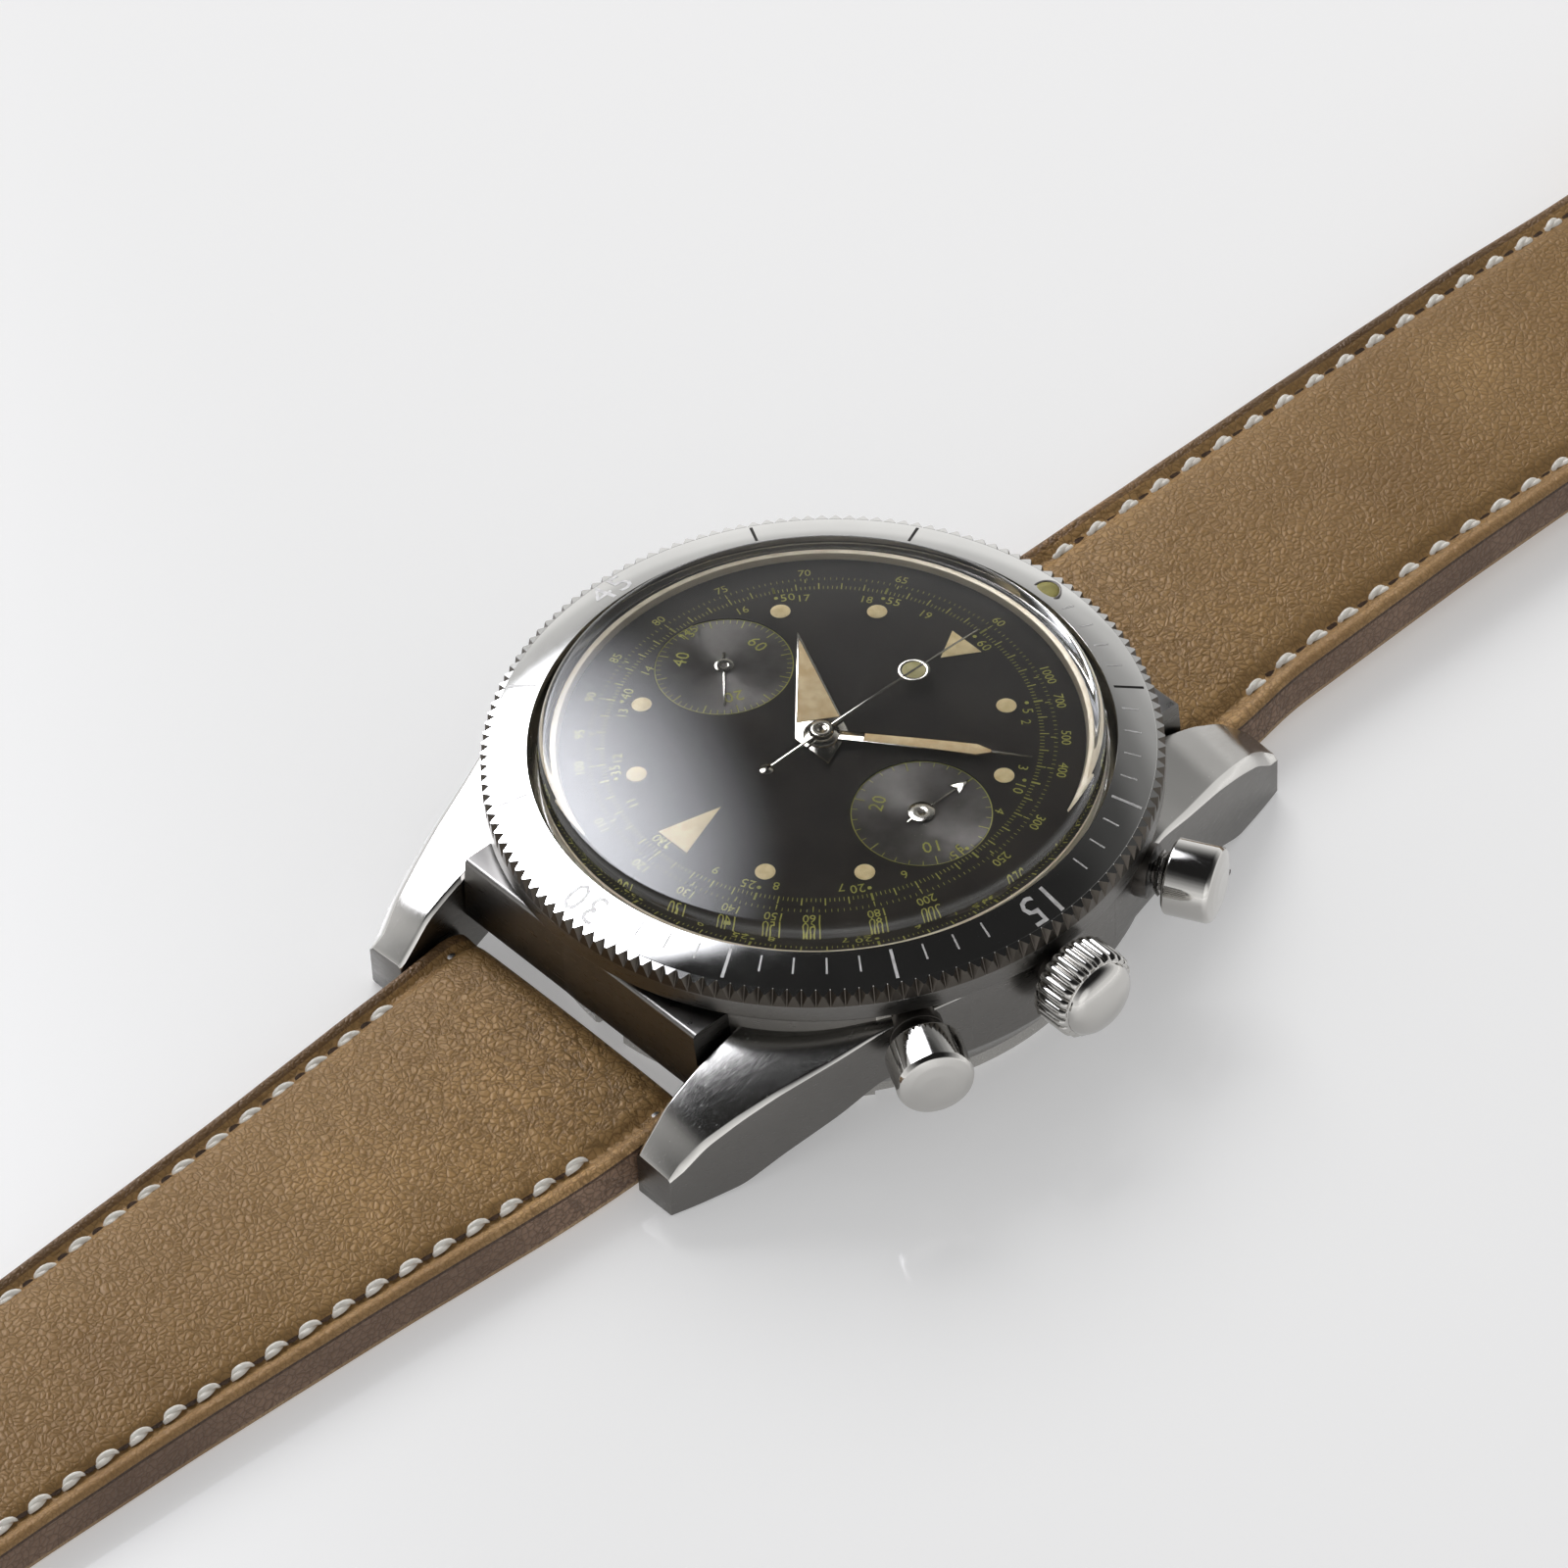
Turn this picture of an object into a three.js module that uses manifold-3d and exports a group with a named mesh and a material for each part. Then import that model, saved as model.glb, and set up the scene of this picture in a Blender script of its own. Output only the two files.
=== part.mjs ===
// A hand-wound chronograph wristwatch on a leather strap, in millimetres. +Z leaves the dial, +Y runs to
// 12 o'clock and +X to the crown. The origin is the middle of the case back's flat underside.
import * as THREE from "three";
import { mergeGeometries, mergeVertices } from "three/addons/utils/BufferGeometryUtils.js";
import Module from "manifold-3d";

const wasm = await Module();
wasm.setup();

// Case, crystal and bezel
const flankRadius = 18.9;
const flankBottomZ = 4;
const shelfZ = 8.6;
const caseBottomZ = 1.4;
const caseBottomRadius = 17.2;
const caseBore = 15.65;
const neckRadius = 17;
const neckHeight = 2.25;
const lugSpan = 47.6;
const lugGap = 20.08;
const lugFaceTurnDeg = 16.05;
const lugInnerBevel = 0.25;
const endWallHalf = 18.85;
const endWallTopZ = 7.3;
const endWallBevel = 0.95;
const runningGap = 0.05;
const seatGap = 0.03;
const overrun = 0.5;
const bezelRadius = 19.5;
const bezelBottomZ = 8.95;
const bezelEdgeZ = 11.1;
const bezelTopZ = 11.93;
const bezelMouthRadius = 16.8;
const bezelLipThickness = 1;
const notchCount = 150;
const notchDepth = 0.45;
const notchHeight = 0.86;
const notchWidthShare = 0.6;
const pipRadius = 0.875;
const pipPlaceRadius = 17.7;
const pipDepth = 0.5;
const pipDome = 0.12;
const clickRingWidth = 1.2;
const clickRingThickness = 0.12;
const crystalRadius = 16.2;
const crystalWall = 0.8;
const crystalLedgeZ = 9.85;
const crystalShoulderZ = 12.2;
const crystalRimRadius = 15.6;
const crystalRimZ = 13;
const crystalTopZ = 13.9;
const crystalDomeThickness = 1.2;

// Case back
const backDiscRadius = 17.05;
const backFloorZ = 0.9;
const backEdgeBevel = 0.3;
const backNeckWall = 0.95;
const backNeckHeight = 1.2;
const backNotchCount = 6;
const backNotchWidth = 2.4;
const backNotchDepth = 0.6;
const gasketWidth = 0.7;
const gasketHeight = 0.5;

// Spring bars
const springBarOffset = 21.1;
const springBarZ = 2.5;
const springBarRadius = 0.75;
const springBarPinRadius = 0.42;
const springBarPinReach = 0.95;
const springBarHoleDepth = 1.1;

// Crown, stem and pushers
const stemZ = 7.3;
const crownRadius = 2.75;
const crownInnerX = 19.9;
const crownFluteLength = 2.5;
const crownDome = 1.1;
const crownFluteDepth = 0.22;
const crownFlutes = 24;
const crownPocketRadius = 1.75;
const crownPocketDepth = 1.5;
const crownTubeRadius = 1.2;
const crownTubeInnerX = 15.8;
const crownTubeReach = 1.3;
const stemRadius = 0.6;
const stemHoldDepth = 0.65;
const stemSquare = 0.72;
const stemPilotRadius = 0.3;
const stemPilotLength = 0.6;
const pusherTurnDeg = 27.6;
const pusherCapRadius = 2.25;
const pusherCapInner = 20.8;
const pusherCapLength = 2.7;
const pusherCapDome = 0.4;
const pusherStemRadius = 0.6;
const pusherTubeRadius = 1.2;
const pusherNeckRadius = 1.6;
const pusherTubeInner = 15.75;
const pusherTravel = 1;
const pusherPocketRadius = 1.85;
const pusherPocketDepth = 1.5;
const spotFaceRadius = 2.6;
const spotFaceDepth = 0.12;
const spotFaceReach = 2;
const springWire = 0.26;
const springTurns = 3;
const springEndShare = 2.5;

// Dial, hands and the ring around them
const dialRadius = 15.2;
const dialTopZ = 9.4;
const dialThickness = 0.4;
const registerOffset = 8.1;
const registerRadius = 3.95;
const registerDepth = 0.15;
const dialFootRadius = 0.35;
const dialFootPlace = 12.6;
const dialFootLength = 0.9;
const dialFootTurnsDeg = [60, 240];
const rehautInner = 14.75;
const rehautTopInner = 15;
const rehautHeight = 1.28;
const handGap = 0.26;
const minuteHandGap = 0.2;
const smallHandLift = 0.02;
const smallHandThickness = 0.1;
const smallHandHubHeight = 0.16;
const smallHandBoreDepth = 0.1;
const handThickness = 0.17;
const hourHandLength = 8.6;
const hourHandWidth = 3.1;
const hourHandTail = 2.3;
const hourHandTurnDeg = 303.5;
const minuteHandLength = 11.9;
const minuteHandWidth = 0.95;
const minuteHandHub = 1.05;
const minuteHandTurnDeg = 52;
const sweepLength = 12.1;
const sweepTail = 4.2;
const sweepWidth = 0.22;
const sweepHubRadius = 0.7;
const sweepHubHeight = 0.75;
const sweepRingPlace = 7.1;
const sweepRingRadius = 0.92;
const sweepRingHole = 0.68;
const sweepWeightRadius = 0.43;
const secondsHandLength = 3.24;
const secondsHandWidth = 0.17;
const secondsHandHub = 0.55;
const secondsHandTurnDeg = 132;
const counterHandLength = 3.6;
const counterHandWidth = 0.2;
const counterHandHub = 0.75;
const counterArrowWidth = 0.9;
const counterArrowLength = 1.15;

// Main plate, bridges and holding ring
const plateRadius = 14.3;
const plateTopZ = 8.3;
const plateThickness = 1.4;
const stemSlotHalf = 1.75;
const stemSlotInner = 9.6;
const pusherNotchHalf = 1.1;
const pusherNotchInner = 12.2;
const holdingRingWidth = 1.15;
const holdingRingHeight = 2.5;
const bridgeRadius = 14.1;
const bridgeZ = 3.65;
const bridgeThickness = 0.65;
const bridgeFootInner = 13.15;
const studRadius = 0.4;
const studEndZ = 1.45;
const arborRadius = 0.2;
const pivotGap = 0.05;

// Train of wheels from the barrel to the balance
const barrelOffset = 6.9;
const barrelTurnDeg = -49;
const barrelTeeth = 48;
const centrePinionLeaves = 9;
const barrelDrumRadius = 5.15;
const barrelDrumBottomZ = 5;
const barrelFlangeZ = 6.2;
const barrelFlangeThickness = 0.35;
const barrelArborRadius = 0.7;
const centreWheelTeeth = 48;
const thirdPinionLeaves = 6;
const centreToThird = 4.95;
const centreWheelZ = 4.5;
const centreArborRadius = 0.45;
const centreArborTopZ = 9.7;
const thirdWheelTeeth = 45;
const fourthPinionLeaves = 6;
const thirdToFourth = 4.42;
const thirdWheelZ = 5.5;
const fourthWheelTeeth = 48;
const escapePinionLeaves = 6;
const fourthToEscape = 3.7;
const escapeTurnDeg = -75;
const fourthWheelZ = 6.2;
const wheelThickness = 0.25;
const pinionOverhang = 0.12;
const escapeTeeth = 15;
const escapeRadius = 1.9;
const escapeWheelZ = 5.3;
const balanceX = -4.9;
const balanceY = -8.9;
const balanceRadius = 3.2;
const balanceRimWidth = 0.45;
const balanceZ = 4.65;
const balanceThickness = 0.45;
const rollerRadius = 0.8;
const rollerZ = 5.5;
const forkPivotFromEscape = 2.25;
const forkThickness = 0.3;
const forkWidth = 0.3;
const forkHubRadius = 0.3;
const palletGap = 0.2;
const tipGap = 0.06;
const hairspringZ = 4.32;
const hairspringHeight = 0.16;
const hairspringTape = 0.12;
const hairspringInner = 0.5;
const hairspringPitch = 0.45;
const hairspringTurns = 3;

// Winding and setting wheels
const ratchetTeeth = 40;
const crownWheelTeeth = 20;
const ratchetToCrownWheel = 8.78;
const windingWheelZ = 2.95;
const windingWheelThickness = 0.5;
const contrateTeeth = 14;
const contrateInner = 1.75;
const contrateOuter = 2.45;
const contrateTopZ = 6.1;
const contrateToothHeight = 0.4;
const windingPinionLeaves = 9;
const windingPinionTip = 1.5;
const windingPinionLength = 1.3;
const slidingPinionX = 10.3;
const slidingPinionLength = 2.6;
const slidingPinionRadius = 1.35;
const slidingGrooveRadius = 0.9;
const setToothCount = 12;
const motionDistance = 3.6;
const motionTurnDeg = 110;
const cannonLeaves = 12;
const minuteWheelTeeth = 36;
const minutePinionLeaves = 10;
const hourWheelTeeth = 40;
const motionWheelZ = 8.42;
const motionWheelThickness = 0.2;
const cannonTubeRadius = 0.65;
const cannonTopZ = 10.25;
const hourTubeRadius = 1.05;
const clickLength = 2.2;
const clickWidth = 0.8;
const clickPivotOffset = 7.2;
const clickTurnDeg = -110;

// Chronograph work under the bridges
const chronoBridgeZ = 1;
const chronoBridgeThickness = 0.35;
const chronoBridgeWidth = 2.2;
const pillarRadius = 0.65;
const leftPillarX = -5.2;
const leftPillarY = -1.2;
const rightPillarX = 11.9;
const rightPillarY = 4;
const leverZ = 1.5;
const leverThickness = 0.35;
const leverWidth = 1.1;
const leverPostRadius = 0.45;
const leverPostPlace = 13.85;
const leverPostTopZ = 7.8;
const runnerTeeth = 48;
const runnerRadius = 3.3;
const runnerZ = 2;
const runnerThickness = 0.2;
const heartRadius = 0.75;
const recordingTeeth = 30;
const recordingPitch = 2.4;
const transferTeeth = 25;
const recordingZ = 2.35;
const columnX = 2.6;
const columnY = 9.7;
const columnRatchetRadius = 1.9;
const columnRatchetTeeth = 12;
const columnCount = 6;
const columnRingRadius = 1.25;
const columnRadius = 0.26;
const columnHeight = 0.75;
const operatingPivotX = 8.6;
const operatingPivotY = 10.6;
const hammerPivotX = 7.2;
const hammerPivotY = -11.2;
const hammerHeadWidth = 0.7;
const hammerBarY = -2.7;
const hammerStandOff = 2.85;
const hammerHeadY = -0.45;

// Strap, keepers and buckle
const strapEndRadius = 1.9;
const strapSlack = 0.19;
const tailLength = 115;
const buckleStrapLength = 73;
const strapRimWidth = 0.9;
const strapChannelInset = 1.35;
const strapPadInset = 3.1;
const strapPadHeight = 3.6;
const strapHalfWidth = 9.2;
const tailHalfWidth = 7.5;
const strapTipLength = 9;
const tailHoleCount = 7;
const tailHolePitch = 6.5;
const tailHoleRadius = 0.9;
const tailHoleFromTip = 26;
const buckleBarRadius = 0.75;
const buckleBarZ = 2.55;
const buckleInnerHalf = 9.35;
const buckleArmWidth = 1.9;
const buckleReach = 9.6;
const buckleEarLength = 1.5;
const buckleThickness = 2;
const buckleTiltDeg = 9;
const buckleCorner = 2.4;
const tangWidth = 1.7;
const tangThickness = 1;
const tangSlotHalf = 1.35;
const tangSlotLength = 4.6;
const keeperWall = 1.1;
const keeperLength = 5;
const keeperInnerHeight = 5.1;
const keeperSlack = 0.3;
const fixedKeeperFromBar = 8;
const looseKeeperFromBar = 14.5;

const fineSegments = 40;
const roundSegments = 28;
const smallSegments = 12;
const pinSegments = 8;

const steel = () => material(0x8f9094, 0.3, 1);
const polishedSteel = () => material(0xb9babd, 0.15, 1);
const darkSteel = () => material(0x4d4e52, 0.45, 1);
const brass = () => material(0xb59a5b, 0.35, 1);
const nickel = () => material(0xa8a6a0, 0.35, 1);
const blackPaint = () => material(0x33312d, 0.7, 0);
const creamLume = () => material(0xc8b482, 0.8, 0);
const rubber = () => material(0x1c1c1c, 0.8, 0);
const leather = () => material(0x8b6d46, 0.75, 0);

function material(color, roughness, metalness) {
  return new THREE.MeshStandardMaterial({ color, roughness, metalness });
}

function radians(degrees) {
  return THREE.MathUtils.degToRad(degrees);
}

function polar(radius, degrees) {
  return new THREE.Vector2(radius * Math.cos(radians(degrees)), radius * Math.sin(radians(degrees)));
}

// A geometry as a solid that can be joined and cut.
function toSolid(geometry) {
  const bare = new THREE.BufferGeometry();
  bare.setAttribute("position", geometry.getAttribute("position").clone());
  if (geometry.index) bare.setIndex(geometry.index.clone());
  const merged = mergeVertices(bare);
  const mesh = new wasm.Mesh({
    numProp: 3,
    vertProperties: merged.attributes.position.array,
    triVerts: new Uint32Array(merged.index.array),
  });
  return new wasm.Manifold(mesh);
}

function toGeometry(solid) {
  const mesh = solid.asOriginal().getMesh();
  const geometry = new THREE.BufferGeometry();
  geometry.setAttribute("position", new THREE.BufferAttribute(mesh.vertProperties, 3));
  geometry.setIndex(new THREE.BufferAttribute(mesh.triVerts, 1));
  return geometry;
}

function joined(...geometries) {
  return toGeometry(geometries.map(toSolid).reduce((all, next) => all.add(next)));
}

function cut(geometry, ...cutters) {
  return toGeometry(cutters.map(toSolid).reduce((all, next) => all.subtract(next), toSolid(geometry)));
}

// A profile of [radius, height] pairs turned round the Z axis.
function revolved(profile, segments = roundSegments) {
  const points = profile.map(([radius, height]) => new THREE.Vector2(radius, height));
  return new THREE.LatheGeometry(points, segments).rotateX(Math.PI / 2);
}

function ring(inner, outer, bottom, top, segments = roundSegments) {
  return revolved([[inner, bottom], [outer, bottom], [outer, top], [inner, top], [inner, bottom]], segments);
}

function rod(radius, bottom, top, segments = smallSegments) {
  return revolved([[0, bottom], [radius, bottom], [radius, top], [0, top]], segments);
}

function extruded(shape, bottom, top) {
  const settings = { depth: top - bottom, bevelEnabled: false, curveSegments: pinSegments };
  return new THREE.ExtrudeGeometry(shape, settings).translate(0, 0, bottom);
}

function box(xs, ys, zs) {
  const [sizes, middles] = [[xs, ys, zs].map(([a, b]) => b - a), [xs, ys, zs].map(([a, b]) => (a + b) / 2)];
  return new THREE.BoxGeometry(...sizes).translate(...middles);
}

// Turns a geometry built round Z so that its Z axis lies along +X at the height of the stem, and then
// turns it round the case to the given angle.
function onStemAxis(geometry, turnDeg = 0) {
  return geometry.rotateY(Math.PI / 2).translate(0, 0, stemZ).rotateZ(radians(turnDeg));
}

function moved(geometry, place, z = 0) {
  return geometry.translate(place.x, place.y, z);
}

// The geometry mirrored in X or Y, with its faces still pointing out.
function mirrored(geometry, signX, signY) {
  const copy = geometry.clone().scale(signX, signY, 1);
  if (signX * signY > 0) return copy;
  const order = copy.index.array;
  for (let i = 0; i < order.length; i += 3) [order[i + 1], order[i + 2]] = [order[i + 2], order[i + 1]];
  return copy;
}

// A body through outlines of [x, z] pairs, given with their place along Y in rising order.
function lofted(sections) {
  const count = sections[0].outline.length;
  const positions = sections.flatMap(({ y, outline }) => outline.flatMap(([x, z]) => [x, y, z]));
  const faces = [];
  for (let row = 0; row < sections.length - 1; row++) {
    for (let k = 0; k < count; k++) {
      const [a, b] = [row * count + k, row * count + ((k + 1) % count)];
      faces.push(a, a + count, b, b, a + count, b + count);
    }
  }
  const flat = (section) => section.outline.map(([x, z]) => new THREE.Vector2(x, z));
  const last = (sections.length - 1) * count;
  for (const [a, b, c] of THREE.ShapeUtils.triangulateShape(flat(sections[0]), [])) faces.push(a, b, c);
  for (const [a, b, c] of THREE.ShapeUtils.triangulateShape(flat(sections.at(-1)), [])) {
    faces.push(last + a, last + c, last + b);
  }
  const geometry = new THREE.BufferGeometry();
  geometry.setAttribute("position", new THREE.Float32BufferAttribute(positions, 3));
  geometry.setIndex(faces);
  return geometry;
}

function shapeOf(points) {
  return new THREE.Shape(points.map((p) => (Array.isArray(p) ? new THREE.Vector2(...p) : p)));
}

function circleShape(radius, place = new THREE.Vector2()) {
  return new THREE.Shape().absarc(place.x, place.y, radius, 0, 2 * Math.PI);
}

// The outline of a toothed wheel. The shares say how much of the pitch a tooth fills at its tip and foot.
function toothedShape(teeth, foot, tip, { tipShare = 0, footShare = 1, leanShare = 0, phaseShare = 0 } = {}) {
  const points = [];
  for (let tooth = 0; tooth < teeth; tooth++) {
    const at = (share) => (360 * (tooth + share + phaseShare)) / teeth;
    if (footShare < 1) points.push(polar(foot, at(-footShare / 2)));
    if (tipShare > 0) points.push(polar(tip, at(leanShare - tipShare / 2)));
    points.push(polar(tip, at(leanShare + tipShare / 2)));
    points.push(polar(foot, at(footShare / 2)));
  }
  return shapeOf(points);
}

// Wheels have pointed teeth and pinions have blunt leaves. The shares are of the pitch along the circle.
const wheelTipShare = 0.315;
const wheelFootShare = 0.45;
const leafReachShare = 0.21;
const leafRootShare = 0.42;
const leafTipShare = 0.22;
const leafFootShare = 0.4;

function arcPitch(teeth, pitchRadius) {
  return (2 * Math.PI * pitchRadius) / teeth;
}

function wheelTip(teeth, pitchRadius) {
  return pitchRadius + arcPitch(teeth, pitchRadius) * wheelTipShare;
}

function wheelShape(teeth, pitchRadius, turnDeg = 0) {
  const foot = pitchRadius - arcPitch(teeth, pitchRadius) * wheelFootShare;
  return toothedShape(teeth, foot, wheelTip(teeth, pitchRadius), { phaseShare: (turnDeg * teeth) / 360 });
}

function pinionShape(leaves, pitchRadius, turnDeg = 0) {
  const foot = pitchRadius - arcPitch(leaves, pitchRadius) * leafRootShare;
  const tip = pitchRadius + arcPitch(leaves, pitchRadius) * leafReachShare;
  const shares = { tipShare: leafTipShare, footShare: leafFootShare, phaseShare: (turnDeg * leaves) / 360 };
  return toothedShape(leaves, foot, tip, shares);
}

// The turn that puts a wheel in mesh with one at the given turn, which it meets in the given direction.
function meshedTurn(turnDeg, teeth, otherTeeth, directionDeg) {
  const offset = ((turnDeg - directionDeg) * teeth) / 360 + 1 / 2;
  return directionDeg + 180 - (offset * 360) / otherTeeth;
}

function polygonPoints(radius, sides) {
  return Array.from({ length: sides }, (_, k) => polar(radius, (360 * k) / sides));
}

// A shape with a hole of the given radius in its middle, which a prism of that radius fills exactly.
function bored(shape, radius, sides = pinSegments) {
  shape.holes.push(new THREE.Path(polygonPoints(radius, sides)));
  return shape;
}

function prism(radius, bottom, top, sides = pinSegments) {
  return extruded(shapeOf(polygonPoints(radius, sides)), bottom, top);
}

function tube(inner, outer, bottom, top, sides = smallSegments) {
  return extruded(bored(shapeOf(polygonPoints(outer, sides)), inner, sides), bottom, top);
}

// Cuts the crossings between a wheel's spokes out of its shape.
const crossingRimShare = 0.8;
const crossingHubShare = 0.3;
const crossingOpenShare = 0.72;
function withCrossings(shape, radius, spokes) {
  for (let k = 0; k < spokes; k++) {
    const at = (share) => (360 * (k + share)) / spokes;
    const [low, high] = [(1 - crossingOpenShare) / 2, (1 + crossingOpenShare) / 2];
    const outline = [
      polar(radius * crossingHubShare, at(1 / 2)),
      polar(radius * crossingRimShare, at(low)),
      polar(radius * crossingRimShare, at(1 / 2)),
      polar(radius * crossingRimShare, at(high)),
    ];
    shape.holes.push(new THREE.Path(outline));
  }
  return shape;
}

const watch = new THREE.Group();

function add(name, geometry, look) {
  const mesh = new THREE.Mesh(geometry, look);
  mesh.name = name;
  watch.add(mesh);
  return mesh;
}

// Middle case. Each lug is a loft along Y: [place, top, bottom, bevel, rise of the inner edge], the place as
// a share of the reach of the lugs and the rest as shares of the height of the case's shelf.
const lugShares = [
  [0.23, 1, 0.535, 0.035, 0],
  [0.466, 0.953, 0.488, 0.035, 0.02],
  [0.571, 0.866, 0.326, 0.058, 0.07],
  [0.718, 0.767, 0.163, 0.081, 0.1],
  [0.815, 0.674, 0.035, 0.122, 0.1],
  [0.908, 0.558, 0.012, 0.122, 0.075],
  [0.945, 0.465, 0.006, 0.105, 0.05],
  [0.983, 0.384, 0.006, 0.058, 0.03],
  [1, 0.343, 0.006, 0.035, 0.02],
];

function lug() {
  const reach = lugSpan / 2;
  const turn = radians(lugFaceTurnDeg);
  const sections = lugShares.map(([place, top, bottom, bevel, rise]) => {
    const y = reach * place;
    const outer = (flankRadius - y * Math.sin(turn)) / Math.cos(turn);
    const inner = lugGap / 2;
    const [topZ, bottomZ, bevelSize] = [top, bottom, bevel].map((share) => share * shelfZ);
    const innerTop = topZ + rise * shelfZ;
    const outline = [
      [inner, bottomZ],
      [outer, bottomZ],
      [outer, topZ - bevelSize],
      [outer - bevelSize, topZ],
      [inner + lugInnerBevel, innerTop],
      [inner, innerTop - lugInnerBevel],
    ];
    return { y, outline };
  });
  return lofted(sections);
}

function endWall() {
  const outline = [
    [caseBore, caseBottomZ],
    [caseBottomRadius - lugInnerBevel, caseBottomZ],
    [endWallHalf, flankBottomZ],
    [endWallHalf, endWallTopZ],
    [endWallHalf - endWallBevel, shelfZ],
    [caseBore, shelfZ],
  ];
  const wall = extruded(shapeOf(outline), -lugGap / 2 - overrun, lugGap / 2 + overrun);
  return wall.applyMatrix4(
    new THREE.Matrix4().makeBasis(
      new THREE.Vector3(0, 1, 0),
      new THREE.Vector3(0, 0, 1),
      new THREE.Vector3(1, 0, 0),
    ),
  );
}

const neckTopZ = shelfZ + neckHeight;
const gasketGrooveRadius = caseBore + gasketWidth + 2 * runningGap;

function midCase() {
  const drum = revolved([
    [0, caseBottomZ],
    [caseBottomRadius, caseBottomZ],
    [flankRadius, flankBottomZ],
    [flankRadius, shelfZ],
    [neckRadius, shelfZ],
    [neckRadius, neckTopZ],
    [0, neckTopZ],
  ], fineSegments);
  const quarter = lug();
  const lugs = [[1, 1], [-1, 1], [1, -1], [-1, -1]].map(([x, y]) => mirrored(quarter, x, y));
  const wall = toGeometry(toSolid(endWall()));
  const walls = [mirrored(wall, 1, 1), mirrored(wall, 1, -1)];
  const cavity = revolved([
    [0, -overrun],
    [gasketGrooveRadius, -overrun],
    [gasketGrooveRadius, caseBottomZ + gasketHeight + runningGap],
    [caseBore, caseBottomZ + gasketHeight + runningGap],
    [caseBore, crystalLedgeZ],
    [crystalRadius + 2 * runningGap, crystalLedgeZ],
    [crystalRadius + 2 * runningGap, neckTopZ + overrun],
    [0, neckTopZ + overrun],
  ]);
  const barReach = lugGap / 2 + springBarHoleDepth;
  const barHoles = [1, -1].map((side) =>
    rod(springBarPinRadius + runningGap, -barReach, barReach, pinSegments)
      .rotateY(Math.PI / 2)
      .translate(0, side * springBarOffset, springBarZ));
  const tubeHole = (radius, turn) =>
    onStemAxis(rod(radius + seatGap, caseBore - overrun, flankRadius + overrun), turn);
  const spotFaces = [pusherTurnDeg, -pusherTurnDeg].map((turn) =>
    onStemAxis(rod(spotFaceRadius, flankRadius - spotFaceDepth, flankRadius + spotFaceReach), turn));
  return cut(
    joined(drum, ...lugs, ...walls),
    cavity,
    ...barHoles,
    tubeHole(crownTubeRadius, 0),
    tubeHole(pusherTubeRadius, pusherTurnDeg),
    tubeHole(pusherTubeRadius, -pusherTurnDeg),
    ...spotFaces,
  );
}
add("mid_case", midCase(), steel());

// Case back with its threaded neck, and the gasket in the groove above its edge.
const backDiscTopZ = caseBottomZ - seatGap;
const backNeckRadius = caseBore - 2 * runningGap;
const backNeckTopZ = caseBottomZ + backNeckHeight;

function caseBack() {
  const inner = backNeckRadius - backNeckWall;
  const cup = revolved([
    [0, 0],
    [backDiscRadius - backEdgeBevel, 0],
    [backDiscRadius, backEdgeBevel],
    [backDiscRadius, backDiscTopZ],
    [backNeckRadius, backDiscTopZ],
    [backNeckRadius, backNeckTopZ],
    [inner, backNeckTopZ],
    [inner, backFloorZ],
    [0, backFloorZ],
  ]);
  const notches = Array.from({ length: backNotchCount }, (_, k) =>
    box(
      [backDiscRadius - backNotchDepth, backDiscRadius + overrun],
      [-backNotchWidth / 2, backNotchWidth / 2],
      [-overrun, backDiscTopZ / 2],
    ).rotateZ((2 * Math.PI * k) / backNotchCount));
  return cut(cup, ...notches);
}
add("case_back", caseBack(), steel());
const gasketInner = caseBore + runningGap;
const gasket = ring(gasketInner, gasketInner + gasketWidth, caseBottomZ, caseBottomZ + gasketHeight);
add("case_back_gasket", gasket, rubber());

// Spring bars, a shouldered rod each.
function springBar(side) {
  const reach = lugGap / 2 + springBarPinReach;
  const shoulder = lugGap / 2 - springBarPinRadius;
  const profile = [
    [0, -reach],
    [springBarPinRadius, -reach],
    [springBarPinRadius, -shoulder],
    [springBarRadius, -shoulder],
    [springBarRadius, shoulder],
    [springBarPinRadius, shoulder],
    [springBarPinRadius, reach],
    [0, reach],
  ];
  return revolved(profile, pinSegments).rotateY(Math.PI / 2).translate(0, side * springBarOffset, springBarZ);
}
add("spring_bar_12", springBar(1), steel());
add("spring_bar_6", springBar(-1), steel());

// Bezel: a ring whose top edge carries coin notches all round, running on the neck of the case.
const bezelBore = neckRadius + runningGap;
const bezelThroat = crystalRadius + 4 * runningGap;

const cornersPerSide = 6;

// Rings of corners joined into one skin. A ring with more corners than its neighbour fans out to it.
function skinned(rings) {
  const positions = [];
  const starts = rings.map(({ corners }) => {
    const start = positions.length / 3;
    corners.forEach((corner) => positions.push(...corner));
    return start;
  });
  const faces = [];
  rings.forEach((ringHere, row) => {
    const next = (row + 1) % rings.length;
    const [countA, countB] = [ringHere.corners.length, rings[next].corners.length];
    const [a, b] = [(k) => starts[row] + (k % countA), (k) => starts[next] + (k % countB)];
    if (countA >= countB) {
      const fan = countA / countB;
      for (let k = 0; k < countA; k++) faces.push(a(k), a(k + 1), b(Math.floor(k / fan)));
      for (let k = 0; k < countB; k++) faces.push(a((k + 1) * fan), b(k + 1), b(k));
    } else {
      const fan = countB / countA;
      for (let k = 0; k < countB; k++) faces.push(b(k + 1), b(k), a(Math.floor(k / fan)));
      for (let k = 0; k < countA; k++) faces.push(a(k), a(k + 1), b((k + 1) * fan));
    }
  });
  return { positions, faces };
}

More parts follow.
